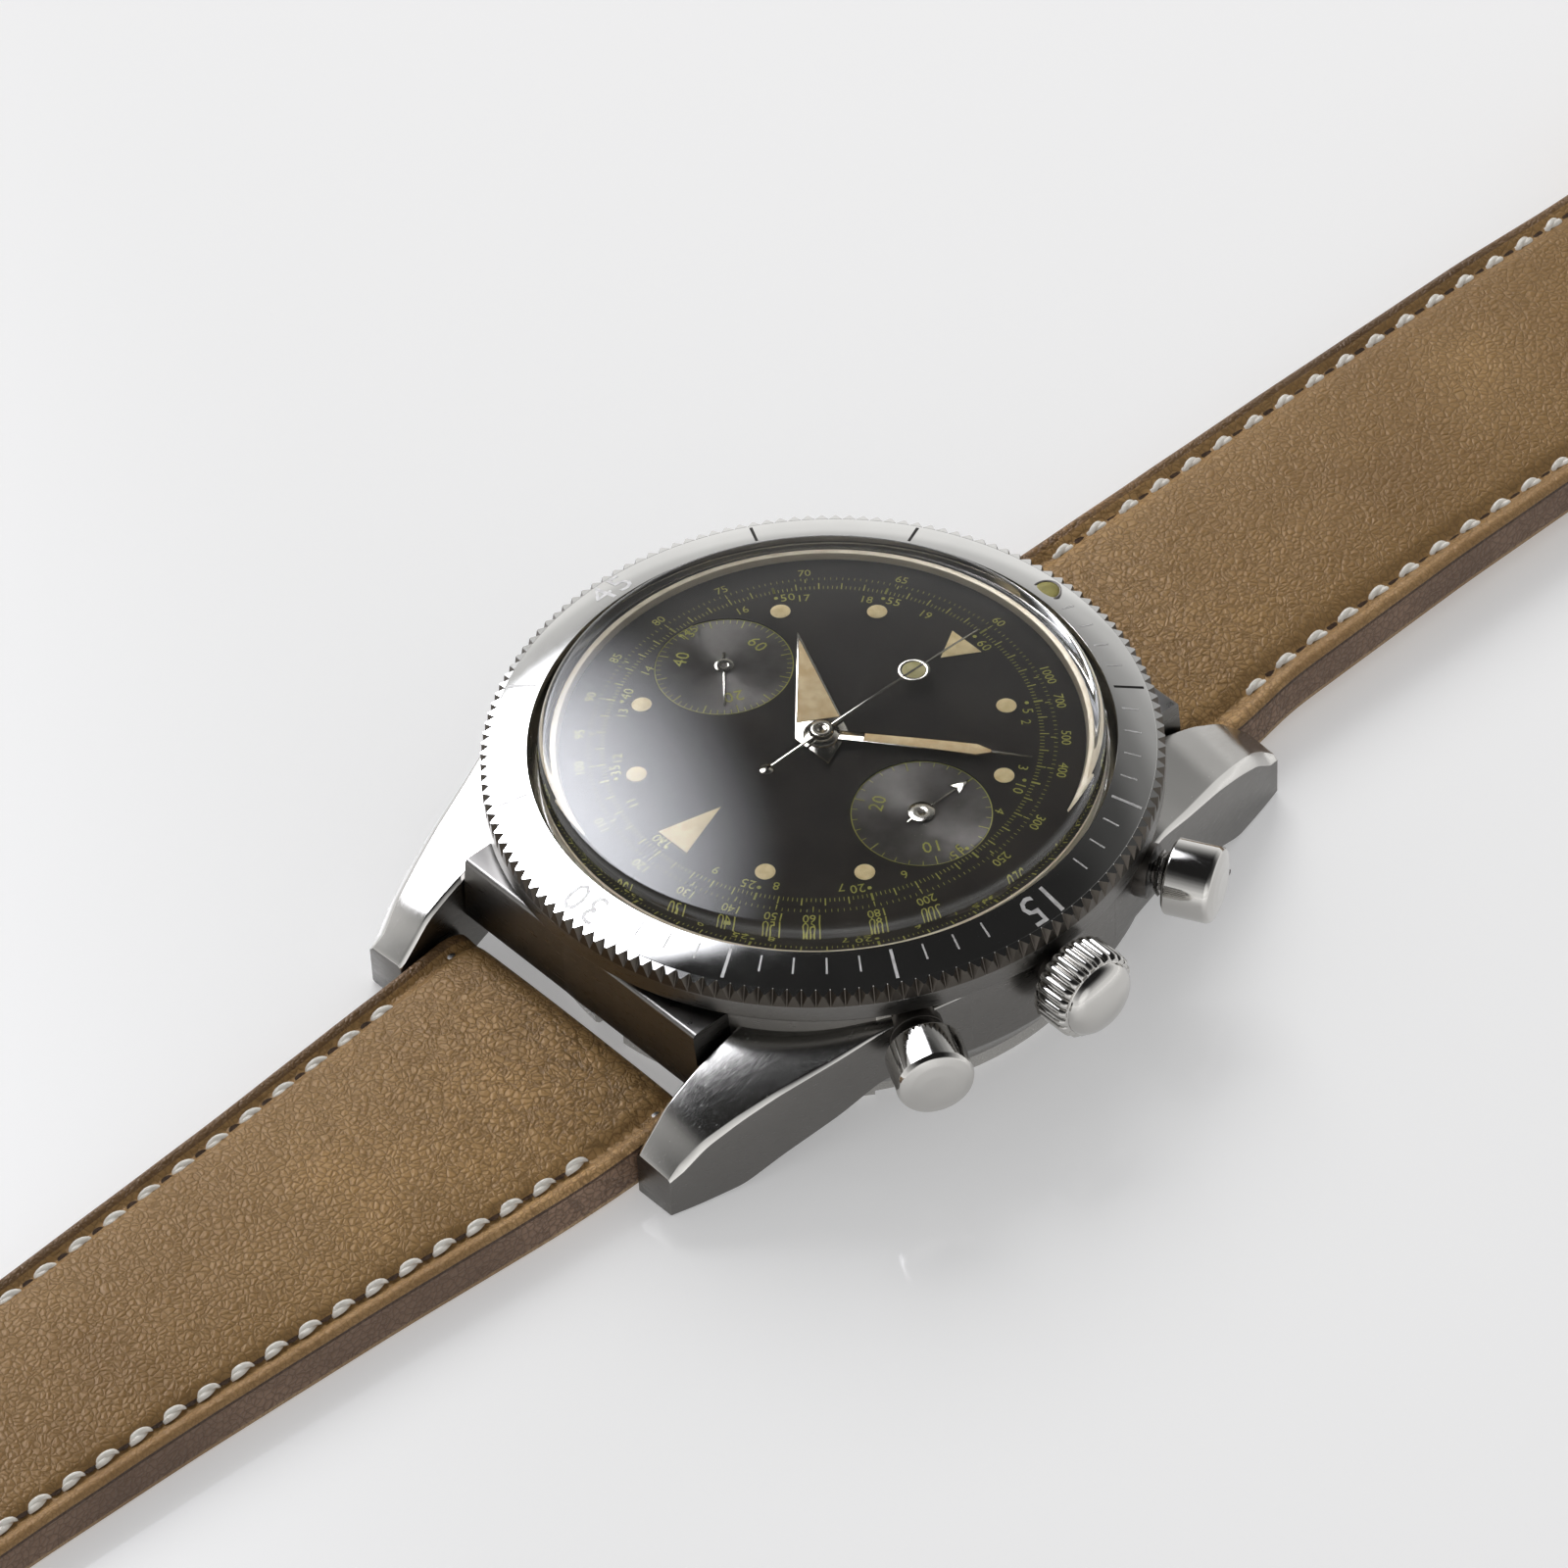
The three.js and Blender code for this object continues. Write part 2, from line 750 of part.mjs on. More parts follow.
// The bezel's edge is milled with slanting notches, so each notch rises inwards to the sloping top.
function bezel() {
  const pitch = (2 * Math.PI) / notchCount;
  const tooth = pitch * (1 - notchWidthShare);
  const toothed = (radius, z) => Array.from({ length: 2 * notchCount }, (_, k) => {
    const angle = Math.floor(k / 2) * pitch + (k % 2) * tooth;
    return [radius * Math.cos(angle), radius * Math.sin(angle), z];
  });
  const plain = (radius, z) => ({
    corners: Array.from({ length: (2 * notchCount) / cornersPerSide }, (_, k) => {
      const angle = (k * cornersPerSide * pitch) / 2;
      return [radius * Math.cos(angle), radius * Math.sin(angle), z];
    }),
  });
  const fall = (bezelTopZ - bezelEdgeZ) / (bezelRadius - bezelMouthRadius);
  const { positions, faces } = skinned([
    plain(bezelRadius, bezelBottomZ),
    { corners: toothed(bezelRadius, bezelEdgeZ - notchHeight) },
    { corners: toothed(bezelRadius - notchDepth, bezelEdgeZ + notchDepth * fall) },
    plain(bezelMouthRadius, bezelTopZ),
    plain(bezelMouthRadius, bezelTopZ - bezelLipThickness / 2),
    plain(bezelThroat, bezelTopZ - bezelLipThickness),
    plain(bezelThroat, neckTopZ + runningGap),
    plain(bezelBore, neckTopZ + runningGap),
    plain(bezelBore, bezelBottomZ),
  ]);
  const body = new THREE.BufferGeometry();
  body.setAttribute("position", new THREE.Float32BufferAttribute(positions, 3));
  body.setIndex(faces);
  const teeth = Array.from({ length: notchCount }, (_, k) => bezelTooth(k * pitch, tooth, fall));
  const pipHole = moved(rod(pipRadius + seatGap, pipBottomZ, bezelTopZ), pipPlace);
  return cut(joined(body, mergeGeometries(teeth)), pipHole);
}

// A tooth between two notches is a wedge that fills the slant back out to the full radius.
function bezelTooth(angle, width, fall) {
  const [low, high] = [bezelEdgeZ - notchHeight, bezelEdgeZ];
  const inner = [bezelRadius - notchDepth, bezelEdgeZ + notchDepth * fall];
  const corners = [angle, angle + width].flatMap((turn) =>
    [[bezelRadius, low], [bezelRadius, high], inner].map(([radius, z]) =>
      [radius * Math.cos(turn), radius * Math.sin(turn), z]));
  const wedge = new THREE.BufferGeometry();
  wedge.setAttribute("position", new THREE.Float32BufferAttribute(corners.flat(), 3));
  wedge.setIndex([0, 1, 2, 3, 5, 4, 0, 3, 4, 0, 4, 1, 1, 4, 5, 1, 5, 2, 2, 5, 3, 2, 3, 0]);
  return wedge;
}

const pipPlace = new THREE.Vector2(0, pipPlaceRadius);
const slopeShare = (pipPlaceRadius - bezelMouthRadius) / (bezelRadius - bezelMouthRadius);
const pipSurfaceZ = bezelTopZ - (bezelTopZ - bezelEdgeZ) * slopeShare;
const pipBottomZ = pipSurfaceZ - pipDepth;
add("bezel", bezel(), steel());

const pip = revolved([
  [0, pipBottomZ + seatGap],
  [pipRadius, pipBottomZ + seatGap],
  [pipRadius, pipSurfaceZ],
  [pipRadius / 2, pipSurfaceZ + pipDome],
  [0, pipSurfaceZ + pipDome],
], pinSegments);
add("bezel_pip", moved(pip, pipPlace), creamLume());

const clickRingInner = neckRadius + 4 * runningGap;
const clickRing = ring(
  clickRingInner,
  clickRingInner + clickRingWidth,
  shelfZ + seatGap,
  shelfZ + seatGap + clickRingThickness,
  smallSegments * 2,
);
add("bezel_click_spring", clickRing, steel());

// Crystal: a straight wall, a rounded shoulder and a shallow dome of one thickness.
function crystal() {
  const inner = crystalRadius - crystalWall;
  const bottom = crystalLedgeZ + seatGap;
  const domeRise = crystalTopZ - crystalRimZ;
  const shoulderShares = [[0.12, 0.45], [0.45, 0.83]];
  const domeShares = [[0.75, 0.44], [0.45, 0.8]];
  const rim = ([across, up]) => [
    crystalRadius - (crystalRadius - crystalRimRadius) * across,
    crystalShoulderZ + (crystalRimZ - crystalShoulderZ) * up,
  ];
  const dome = (radius, height) => ([across, up]) => [radius * across, height + domeRise * up];
  const innerRimZ = crystalRimZ - crystalDomeThickness;
  return revolved([
    [inner, bottom],
    [crystalRadius, bottom],
    [crystalRadius, crystalShoulderZ],
    ...shoulderShares.map(rim),
    [crystalRimRadius, crystalRimZ],
    ...domeShares.map(dome(crystalRimRadius, crystalRimZ)),
    [0, crystalTopZ],
    [0, crystalTopZ - crystalDomeThickness],
    ...domeShares.map(dome(inner, innerRimZ)).reverse(),
    [inner, innerRimZ],
    [inner, bottom],
  ]);
}
add("crystal", crystal(), material(0xeef2f2, 0.05, 0));

// Crown with its stem and tube. The dome's shares are of its radius and height.
const crownDomeShares = [[1, 0.25], [0.8, 0.72], [0.45, 0.94]];

function crown() {
  const outer = crownInnerX + crownFluteLength;
  const flutes = toothedShape(crownFlutes, crownRadius - crownFluteDepth, crownRadius, {
    tipShare: 1 / 2,
    footShare: 3 / 4,
  });
  const barrel = extruded(flutes, crownInnerX, outer);
  const domeRadius = crownRadius - crownFluteDepth;
  const dome = revolved([
    [0, outer - crownFluteDepth],
    [domeRadius, outer - crownFluteDepth],
    ...crownDomeShares.map(([across, along]) => [domeRadius * across, outer + crownDome * along]),
    [0, outer + crownDome],
  ], crownFlutes);
  const pocket = revolved([
    [0, crownInnerX - overrun],
    [crownPocketRadius, crownInnerX - overrun],
    [crownPocketRadius, crownInnerX + crownPocketDepth],
    [stemRadius + seatGap, crownInnerX + crownPocketDepth],
    [stemRadius + seatGap, crownInnerX + crownPocketDepth + stemHoldDepth],
    [0, crownInnerX + crownPocketDepth + stemHoldDepth],
  ], smallSegments);
  return onStemAxis(cut(joined(barrel, dome), pocket));
}
add("crown", crown(), steel());

const tubeOuterX = crownInnerX + crownTubeReach;
const tubeBore = stemRadius + runningGap;
const crownTube = ring(tubeBore, crownTubeRadius, crownTubeInnerX, tubeOuterX, smallSegments);
add("crown_tube", onStemAxis(crownTube), steel());

// Winding stem: round through the winding pinion, square through the sliding pinion, and a pilot.
const ratchetCentre = polar(barrelOffset, barrelTurnDeg);
const reachToCrownWheel = Math.sqrt(ratchetToCrownWheel ** 2 - ratchetCentre.y ** 2);
const crownWheelCentre = new THREE.Vector2(ratchetCentre.x + reachToCrownWheel, 0);
const contrateMiddle = (contrateInner + contrateOuter) / 2;
const windingPinionX = crownWheelCentre.x + contrateMiddle - windingPinionLength / 2;
const squareStartX = windingPinionX - 2 * pivotGap;

function windingStem() {
  const outer = crownInnerX + crownPocketDepth + stemHoldDepth - seatGap;
  const round = rod(stemRadius, squareStartX, outer, pinSegments);
  const half = stemSquare / 2;
  const square = box([-half, half], [-half, half], [stemSlotInner, squareStartX + seatGap]);
  const pilotEnd = stemSlotInner - stemPilotLength;
  const pilot = rod(stemPilotRadius, pilotEnd, stemSlotInner + seatGap, pinSegments);
  return onStemAxis(joined(round, square, pilot));
}
add("winding_stem", windingStem(), steel());

// Pushers: a hollow cap with its stem, a tube in the case and a return spring at its closed length.
const pusherTip = leverPostPlace + leverPostRadius + runningGap;
const pusherPocketEnd = pusherCapInner + pusherPocketDepth;
const pusherTubeOuter = pusherCapInner - pusherTravel - runningGap;
const capDomeShare = 0.7;

function pusher(turnDeg) {
  const end = pusherCapInner + pusherCapLength;
  const profile = [
    [0, pusherTip],
    [pusherStemRadius, pusherTip],
    [pusherStemRadius, pusherPocketEnd],
    [pusherPocketRadius, pusherPocketEnd],
    [pusherPocketRadius, pusherCapInner],
    [pusherCapRadius, pusherCapInner],
    [pusherCapRadius, end],
    [pusherCapRadius - pusherCapDome / 2, end + pusherCapDome * capDomeShare],
    [pusherCapRadius / 2, end + pusherCapDome],
    [0, end + pusherCapDome],
  ];
  return onStemAxis(revolved(profile, smallSegments), turnDeg);
}

class Helix extends THREE.Curve {
  constructor(radius, start, length, turns) {
    super();
    Object.assign(this, { radius, start, length, turns });
  }
  getPoint(share, target = new THREE.Vector3()) {
    const angle = 2 * Math.PI * this.turns * share;
    const place = this.start + this.length * share;
    return target.set(this.radius * Math.cos(angle), this.radius * Math.sin(angle), place);
  }
}

function wireSection(radius, sides) {
  return shapeOf(Array.from({ length: sides }, (_, k) => polar(radius, (360 * k) / sides)));
}

function pusherSpring(turnDeg) {
  const middle = (pusherStemRadius + pusherPocketRadius) / 2;
  const start = pusherTubeOuter + springWire;
  const length = pusherPocketEnd - pusherTravel - pusherTubeOuter - springEndShare * springWire;
  const path = new Helix(middle, start, length, springTurns);
  const settings = { steps: springTurns * pinSegments, extrudePath: path, bevelEnabled: false };
  return onStemAxis(new THREE.ExtrudeGeometry(wireSection(springWire / 2, 4), settings), turnDeg);
}

function pusherTube(turnDeg) {
  const [bore, neckInner] = [pusherStemRadius + runningGap, flankRadius - spotFaceDepth + seatGap];
  const profile = [
    [bore, pusherTubeInner],
    [pusherTubeRadius, pusherTubeInner],
    [pusherTubeRadius, neckInner],
    [pusherNeckRadius, neckInner],
    [pusherNeckRadius, pusherTubeOuter],
    [bore, pusherTubeOuter],
    [bore, pusherTubeInner],
  ];
  return onStemAxis(revolved(profile, smallSegments), turnDeg);
}
for (const [name, turnDeg] of [["start", pusherTurnDeg], ["reset", -pusherTurnDeg]]) {
  add("pusher_" + name, pusher(turnDeg), polishedSteel());
  add("pusher_tube_" + name, pusherTube(turnDeg), steel());
  add("pusher_spring_" + name, pusherSpring(turnDeg), steel());
}

// Dial with its two sunk registers and its feet, and the ring that rises round it.
const dialBottomZ = dialTopZ - dialThickness;
const registers = [new THREE.Vector2(registerOffset, 0), new THREE.Vector2(-registerOffset, 0)];
const centre = new THREE.Vector2();

function dial() {
  const plate = joined(
    rod(dialRadius, dialBottomZ, dialTopZ, roundSegments),
    ...dialFootTurnsDeg.map((turn) =>
      moved(rod(dialFootRadius, dialBottomZ - dialFootLength, dialTopZ - dialThickness / 2, pinSegments),
        polar(dialFootPlace, turn))),
  );
  const sunk = registers.map((place) =>
    moved(rod(registerRadius, dialTopZ - registerDepth, dialTopZ + overrun, roundSegments), place));
  const holes = registers.map((place) =>
    moved(rod(arborRadius + 2 * pivotGap, dialBottomZ - overrun, dialTopZ, pinSegments), place));
  const middle = rod(hourTubeRadius + 2 * pivotGap, dialBottomZ - overrun, dialTopZ + overrun);
  return cut(plate, ...sunk, ...holes, middle);
}
add("dial", dial(), blackPaint());

const rehautBottomZ = dialTopZ + seatGap;
const rehautOuter = crystalRadius - crystalWall - runningGap;
const rehaut = revolved([
  [rehautInner, rehautBottomZ],
  [rehautOuter, rehautBottomZ],
  [rehautOuter, rehautBottomZ + rehautHeight],
  [rehautTopInner, rehautBottomZ + rehautHeight],
  [rehautInner, rehautBottomZ],
]);
add("rehaut_ring", rehaut, brass());

// Hands, each drawn pointing at twelve and then turned clockwise to its reading.
const registerFloorZ = dialTopZ - registerDepth;
const hourHandZ = dialTopZ + handGap;
const minuteHandZ = hourHandZ + handThickness + minuteHandGap;
const sweepHandZ = cannonTopZ + handGap;

function clockwise(geometry, turnDeg, place = centre) {
  return moved(geometry.rotateZ(-radians(turnDeg)), place);
}

function hourHand() {
  const kite = shapeOf([
    [0, hourHandLength],
    [-hourHandWidth / 2, 0],
    [0, -hourHandTail],
    [hourHandWidth / 2, 0],
  ]);
  kite.holes.push(new THREE.Path(circleShape(hourTubeRadius + seatGap).getPoints(pinSegments)));
  return clockwise(extruded(kite, hourHandZ, hourHandZ + handThickness), hourHandTurnDeg);
}

// The sword's half-widths and places along its length, from the hub to the tip.
const swordShares = [[0.37, 0.06], [0.5, 0.74], [0.12, 0.8], [0.05, 1]];

function minuteHand() {
  const right = swordShares.map(([x, y]) => [x * minuteHandWidth, y * minuteHandLength]);
  const left = right.map(([x, y]) => [-x, y]).reverse();
  const blade = extruded(shapeOf([...right, ...left]), minuteHandZ, minuteHandZ + handThickness);
  const hub = rod(minuteHandHub, minuteHandZ, minuteHandZ + handThickness);
  const bore = rod(cannonTubeRadius + seatGap, minuteHandZ - overrun, minuteHandZ + overrun);
  return clockwise(cut(joined(blade, hub), bore), minuteHandTurnDeg);
}

function needle(length, tail, width, bottom, thickness) {
  const half = width / 2;
  const outline = [[-half, -tail], [half, -tail], [half / 2, length], [-half / 2, length]];
  return extruded(shapeOf(outline), bottom, bottom + thickness);
}

function sweepHand() {
  const top = sweepHandZ + handThickness;
  const ringPlace = new THREE.Vector2(0, sweepRingPlace);
  const tailPlace = new THREE.Vector2(0, -sweepTail);
  const body = joined(
    needle(sweepLength, sweepTail, sweepWidth, sweepHandZ, handThickness),
    moved(rod(sweepRingRadius, sweepHandZ, top), ringPlace),
    moved(rod(sweepWeightRadius, sweepHandZ, top, pinSegments), tailPlace),
    rod(sweepHubRadius, sweepHandZ - handThickness, sweepHandZ + sweepHubHeight),
  );
  return cut(
    body,
    moved(rod(sweepRingHole, sweepHandZ - overrun, top + overrun), ringPlace),
    rod(arborRadius + seatGap, sweepHandZ - overrun, top, pinSegments),
  );
}

function smallHand(length, tail, width, hub, tip) {
  const bottom = dialTopZ + smallHandLift;
  const blade = needle(length, tail, width, bottom, smallHandThickness);
  const boss = rod(hub, bottom, bottom + smallHandHubHeight, smallSegments);
  const parts = tip ? [blade, boss, extruded(tip, bottom, bottom + smallHandThickness)] : [blade, boss];
  const bore = rod(arborRadius + seatGap, bottom - overrun, bottom + smallHandBoreDepth, pinSegments);
  return cut(joined(...parts), bore);
}
add("hour_hand", hourHand(), polishedSteel());
add("minute_hand", minuteHand(), polishedSteel());
add("chrono_seconds_hand", sweepHand(), polishedSteel());
const secondsHand = smallHand(secondsHandLength, secondsHandHub * 2, secondsHandWidth, secondsHandHub);
add("running_seconds_hand", clockwise(secondsHand, secondsHandTurnDeg, registers[1]), polishedSteel());
const arrow = shapeOf([
  [0, counterHandLength],
  [-counterArrowWidth / 2, counterHandLength - counterArrowLength],
  [counterArrowWidth / 2, counterHandLength - counterArrowLength],
]);
const counterShaft = counterHandLength - counterArrowLength / 2;
const counterHand = smallHand(counterShaft, counterHandHub, counterHandWidth, counterHandHub, arrow);
add("minute_counter_hand", moved(counterHand, registers[0]), polishedSteel());
const smallArborTopZ = dialTopZ + smallHandLift + smallHandHubHeight / 2;

// Holding ring, open where the stem and the winding work pass, and drilled for the pushers.
const plateBottomZ = plateTopZ - plateThickness;
const ringTopZ = dialBottomZ - seatGap;

function holdingRing() {
  const inner = plateRadius + runningGap;
  const body = ring(inner, inner + holdingRingWidth, ringTopZ - holdingRingHeight, ringTopZ);
  const gap = box([0, caseBore], [-stemSlotHalf, stemSlotHalf], [ringTopZ - 2 * holdingRingHeight, dialTopZ]);
  const holes = [pusherTurnDeg, -pusherTurnDeg].map((turn) =>
    onStemAxis(rod(pusherStemRadius + runningGap, pusherNotchInner, caseBore, pinSegments), turn));
  return cut(body, gap, ...holes);
}
add("movement_ring", holdingRing(), nickel());

// Places of the train. Each lies at its centre distance from the wheels that it meshes with.
const fourthPlace = registers[1];
const thirdAlong = (centreToThird ** 2 - thirdToFourth ** 2 + registerOffset ** 2) / (2 * registerOffset);
const thirdPlace = new THREE.Vector2(-thirdAlong, Math.sqrt(centreToThird ** 2 - thirdAlong ** 2));
const escapePlace = fourthPlace.clone().add(polar(fourthToEscape, escapeTurnDeg));
const balancePlace = new THREE.Vector2(balanceX, balanceY);
const towardsBalance = balancePlace.clone().sub(escapePlace).normalize();
const forkPlace = escapePlace.clone().addScaledVector(towardsBalance, forkPivotFromEscape);
const minuteWheelPlace = polar(motionDistance, motionTurnDeg);
const columnPlace = new THREE.Vector2(columnX, columnY);
const operatingPivot = new THREE.Vector2(operatingPivotX, operatingPivotY);
const hammerPivot = new THREE.Vector2(hammerPivotX, hammerPivotY);
const clickPivot = ratchetCentre.clone().add(polar(clickPivotOffset, clickTurnDeg));

function directionDeg(from, to) {
  return THREE.MathUtils.radToDeg(to.clone().sub(from).angle());
}

// Pitch radii from a centre distance and two counts of teeth.
function pitches(distance, teeth, otherTeeth) {
  return [teeth, otherTeeth].map((count) => (distance * count) / (teeth + otherTeeth));
}

function hole(place, radius, bottom, top, segments = pinSegments) {
  return moved(rod(radius, bottom - overrun, top + overrun, segments), place);
}

// Notches in the rim for the pushers' stems and the posts of the levers.
function pusherNotches(bottom, top) {
  return [pusherTurnDeg, -pusherTurnDeg].map((turn) =>
    box(
      [pusherNotchInner, plateRadius + overrun],
      [-pusherNotchHalf, pusherNotchHalf],
      [bottom - overrun, top + overrun],
    ).rotateZ(radians(turn)));
}

function mainPlate() {
  const stud = rod(studRadius, plateTopZ - overrun, dialBottomZ - runningGap, pinSegments);
  const disc = rod(plateRadius, plateBottomZ, plateTopZ, roundSegments);
  const body = joined(disc, moved(stud, minuteWheelPlace));
  const slot = box(
    [stemSlotInner, plateRadius + overrun],
    [-stemSlotHalf, stemSlotHalf],
    [plateBottomZ - overrun, plateTopZ + overrun],
  );
  const pilotEnd = stemSlotInner - 2 * stemPilotLength;
  const pilot = onStemAxis(rod(stemPilotRadius + runningGap, pilotEnd, stemSlotInner + overrun, pinSegments));
  const pivots = [...registers, thirdPlace, escapePlace, forkPlace, balancePlace].map((place) =>
    hole(place, arborRadius + pivotGap, plateBottomZ, plateTopZ));
  const feet = dialFootTurnsDeg.map((turn) =>
    hole(polar(dialFootPlace, turn), dialFootRadius + runningGap, plateTopZ - dialFootLength, plateTopZ));
  const arbor = hole(ratchetCentre, barrelArborRadius + pivotGap, plateBottomZ, plateTopZ, smallSegments);
  const middle = hole(centre, centreArborRadius + pivotGap, plateBottomZ, plateTopZ, smallSegments);
  return cut(body, slot, ...pusherNotches(plateBottomZ, plateTopZ), pilot, ...pivots, ...feet, arbor, middle);
}
add("main_plate", mainPlate(), nickel());

// Barrel bridge over the right half, train bridge over the left, and the balance cock between them.
const bridgeTopZ = bridgeZ + bridgeThickness;
const footTopZ = plateBottomZ - seatGap;

function arcPoints(radius, fromDeg, toDeg, steps) {
  const stepDeg = (toDeg - fromDeg) / steps;
  return Array.from({ length: steps + 1 }, (_, k) => polar(radius, fromDeg + stepDeg * k));
}

function arcBand(inner, outer, fromDeg, toDeg, steps) {
  return shapeOf([...arcPoints(outer, fromDeg, toDeg, steps), ...arcPoints(inner, toDeg, fromDeg, steps)]);
}

function foot(fromDeg, toDeg, steps, inner = bridgeFootInner) {
  return extruded(arcBand(inner, bridgeRadius, fromDeg, toDeg, steps), bridgeZ + seatGap, footTopZ);
}

const barrelBridgeFrom = -93;
const barrelBridgeTo = 92;
const barrelFootFrom = -32;
const barrelFootTo = 38;
const bridgeHubRadius = 1.7;
const footMarginDeg = 3;

function barrelBridge() {
  const outline = shapeOf([
    ...arcPoints(bridgeRadius, barrelBridgeFrom, barrelBridgeTo, 14),
    ...arcPoints(bridgeHubRadius, barrelBridgeTo, 360 + barrelBridgeFrom, 6),
  ]);
  const studs = [operatingPivot, hammerPivot, columnPlace].map((place) =>
    moved(rod(studRadius, studEndZ, bridgeTopZ - seatGap, pinSegments), place));
  const clickStudTop = bridgeZ + bridgeThickness / 2;
  const clickStud = moved(rod(studRadius, windingWheelZ, clickStudTop, pinSegments), clickPivot);
  const body = joined(
    extruded(outline, bridgeZ, bridgeTopZ),
    foot(barrelBridgeFrom + footMarginDeg, barrelFootFrom, 5),
    foot(barrelFootTo, barrelBridgeTo - footMarginDeg, 5),
    ...studs,
    clickStud,
  );
  const ringHole = hole(crownWheelCentre, contrateOuter + 4 * pivotGap, bridgeZ, bridgeTopZ, smallSegments);
  const arbor = hole(ratchetCentre, barrelArborRadius + pivotGap, bridgeZ, bridgeTopZ, smallSegments);
  const middle = hole(centre, centreArborRadius + pivotGap, bridgeZ, bridgeTopZ, smallSegments);
  const recorder = hole(registers[0], arborRadius + pivotGap, bridgeZ, bridgeTopZ);
  return cut(body, ringHole, arbor, middle, recorder, ...pusherNotches(bridgeZ, bridgeTopZ));
}
add("barrel_bridge", barrelBridge(), nickel());

const trainBridgeFrom = 97;
const trainBridgeTo = 205;
const forkBossRadius = 0.9;
const forkBossTurnsDeg = [200, 260, 320, 20];

function trainBridge() {
  const towardsCentre = bridgeHubRadius + 2 * runningGap;
  const outline = shapeOf([
    ...arcPoints(bridgeRadius, trainBridgeFrom, trainBridgeTo, 10),
    ...forkBossTurnsDeg.map((turn) => forkPlace.clone().add(polar(forkBossRadius, turn))),
    ...arcPoints(towardsCentre, trainBridgeTo, trainBridgeFrom, 5),
  ]);
  const wall = foot(trainBridgeFrom + footMarginDeg, trainBridgeTo - footMarginDeg, 8);
  const body = joined(extruded(outline, bridgeZ, bridgeTopZ), wall);
  const pivots = [thirdPlace, fourthPlace, escapePlace, forkPlace].map((place) =>
    hole(place, arborRadius + pivotGap, bridgeZ, bridgeTopZ));
  return cut(body, ...pivots);
}
add("train_bridge", trainBridge(), nickel());

const cockFrom = 210;
const cockTo = 226;
const cockHeadRadius = 1.2;
const cockThickness = 0.5;
const cockHeadTurnsDeg = [290, 340, 30, 80];

function balanceCock() {
  const outline = shapeOf([
    ...arcPoints(bridgeRadius, cockFrom, cockTo, 3),
    ...cockHeadTurnsDeg.map((turn) => balancePlace.clone().add(polar(cockHeadRadius, turn))),
  ]);
  const body = joined(extruded(outline, bridgeZ, bridgeZ + cockThickness), foot(cockFrom, cockTo, 3));
  return cut(body, hole(balancePlace, arborRadius + pivotGap, bridgeZ, bridgeTopZ));
}
add("balance_cock", balanceCock(), nickel());

// One arbor with its wheel and pinion, all turned into mesh with their neighbours.
function arborWith(place, bottom, top, ...parts) {
  return moved(joined(prism(arborRadius, bottom, top), ...parts), place);
}

const pivotBottomZ = bridgeZ + pivotGap;
const pivotTopZ = plateTopZ - pivotGap;
const [barrelPitch, centrePinionPitch] = pitches(barrelOffset, barrelTeeth, centrePinionLeaves);
const [centreWheelPitch, thirdPinionPitch] = pitches(centreToThird, centreWheelTeeth, thirdPinionLeaves);
const [thirdWheelPitch, fourthPinionPitch] = pitches(thirdToFourth, thirdWheelTeeth, fourthPinionLeaves);
const [fourthWheelPitch, escapePinionPitch] = pitches(fourthToEscape, fourthWheelTeeth, escapePinionLeaves);

function barrel() {
  const flangeTop = barrelFlangeZ + barrelFlangeThickness;
  const flange = bored(wheelShape(barrelTeeth, barrelPitch), barrelDrumRadius, roundSegments);
  const drum = bored(
    shapeOf(polygonPoints(barrelDrumRadius, roundSegments)),
    barrelArborRadius + pivotGap,
    smallSegments,
  );
  const parts = [extruded(flange, barrelFlangeZ, flangeTop), extruded(drum, barrelDrumBottomZ, flangeTop)];
  return moved(joined(...parts), ratchetCentre);
}
add("barrel", barrel(), brass());

function centreWheel() {
  const wheel = withCrossings(wheelShape(centreWheelTeeth, centreWheelPitch), centreWheelPitch, 4);
  const turnDeg = meshedTurn(0, barrelTeeth, centrePinionLeaves, barrelTurnDeg + 180);
  const leaves = pinionShape(centrePinionLeaves, centrePinionPitch, turnDeg);
  return joined(
    extruded(bored(wheel, centreArborRadius), centreWheelZ, centreWheelZ + wheelThickness),
    extruded(
      bored(leaves, centreArborRadius),
      barrelFlangeZ - pinionOverhang,
      barrelFlangeZ + barrelFlangeThickness + pinionOverhang,
    ),
    tube(arborRadius + 2 * pivotGap, centreArborRadius, pivotBottomZ, centreArborTopZ, pinSegments),
  );
}
add("center_wheel", centreWheel(), brass());

// A wheel on its arbor with a pinion that the wheel before it drives from the given direction.
function geared({ place, top, wheelZ, teeth, pitch, spokes, leaves, leafPitch, drivenZ, driverTeeth, from }) {
  const wheel = withCrossings(wheelShape(teeth, pitch), pitch, spokes);
  const turnDeg = meshedTurn(0, driverTeeth, leaves, directionDeg(from, place));
  const pinion = pinionShape(leaves, leafPitch, turnDeg);
  return arborWith(place, pivotBottomZ, top,
    extruded(bored(wheel, arborRadius), wheelZ, wheelZ + wheelThickness),
    extruded(
      bored(pinion, arborRadius),
      drivenZ - pinionOverhang,
      drivenZ + wheelThickness + pinionOverhang,
    ));
}

function thirdWheel() {
  return geared({
    place: thirdPlace,
    top: pivotTopZ,
    wheelZ: thirdWheelZ,
    teeth: thirdWheelTeeth,
    pitch: thirdWheelPitch,
    spokes: 3,
    leaves: thirdPinionLeaves,
    leafPitch: thirdPinionPitch,
    drivenZ: centreWheelZ,
    driverTeeth: centreWheelTeeth,
    from: centre,
  });
}
add("third_wheel", thirdWheel(), brass());

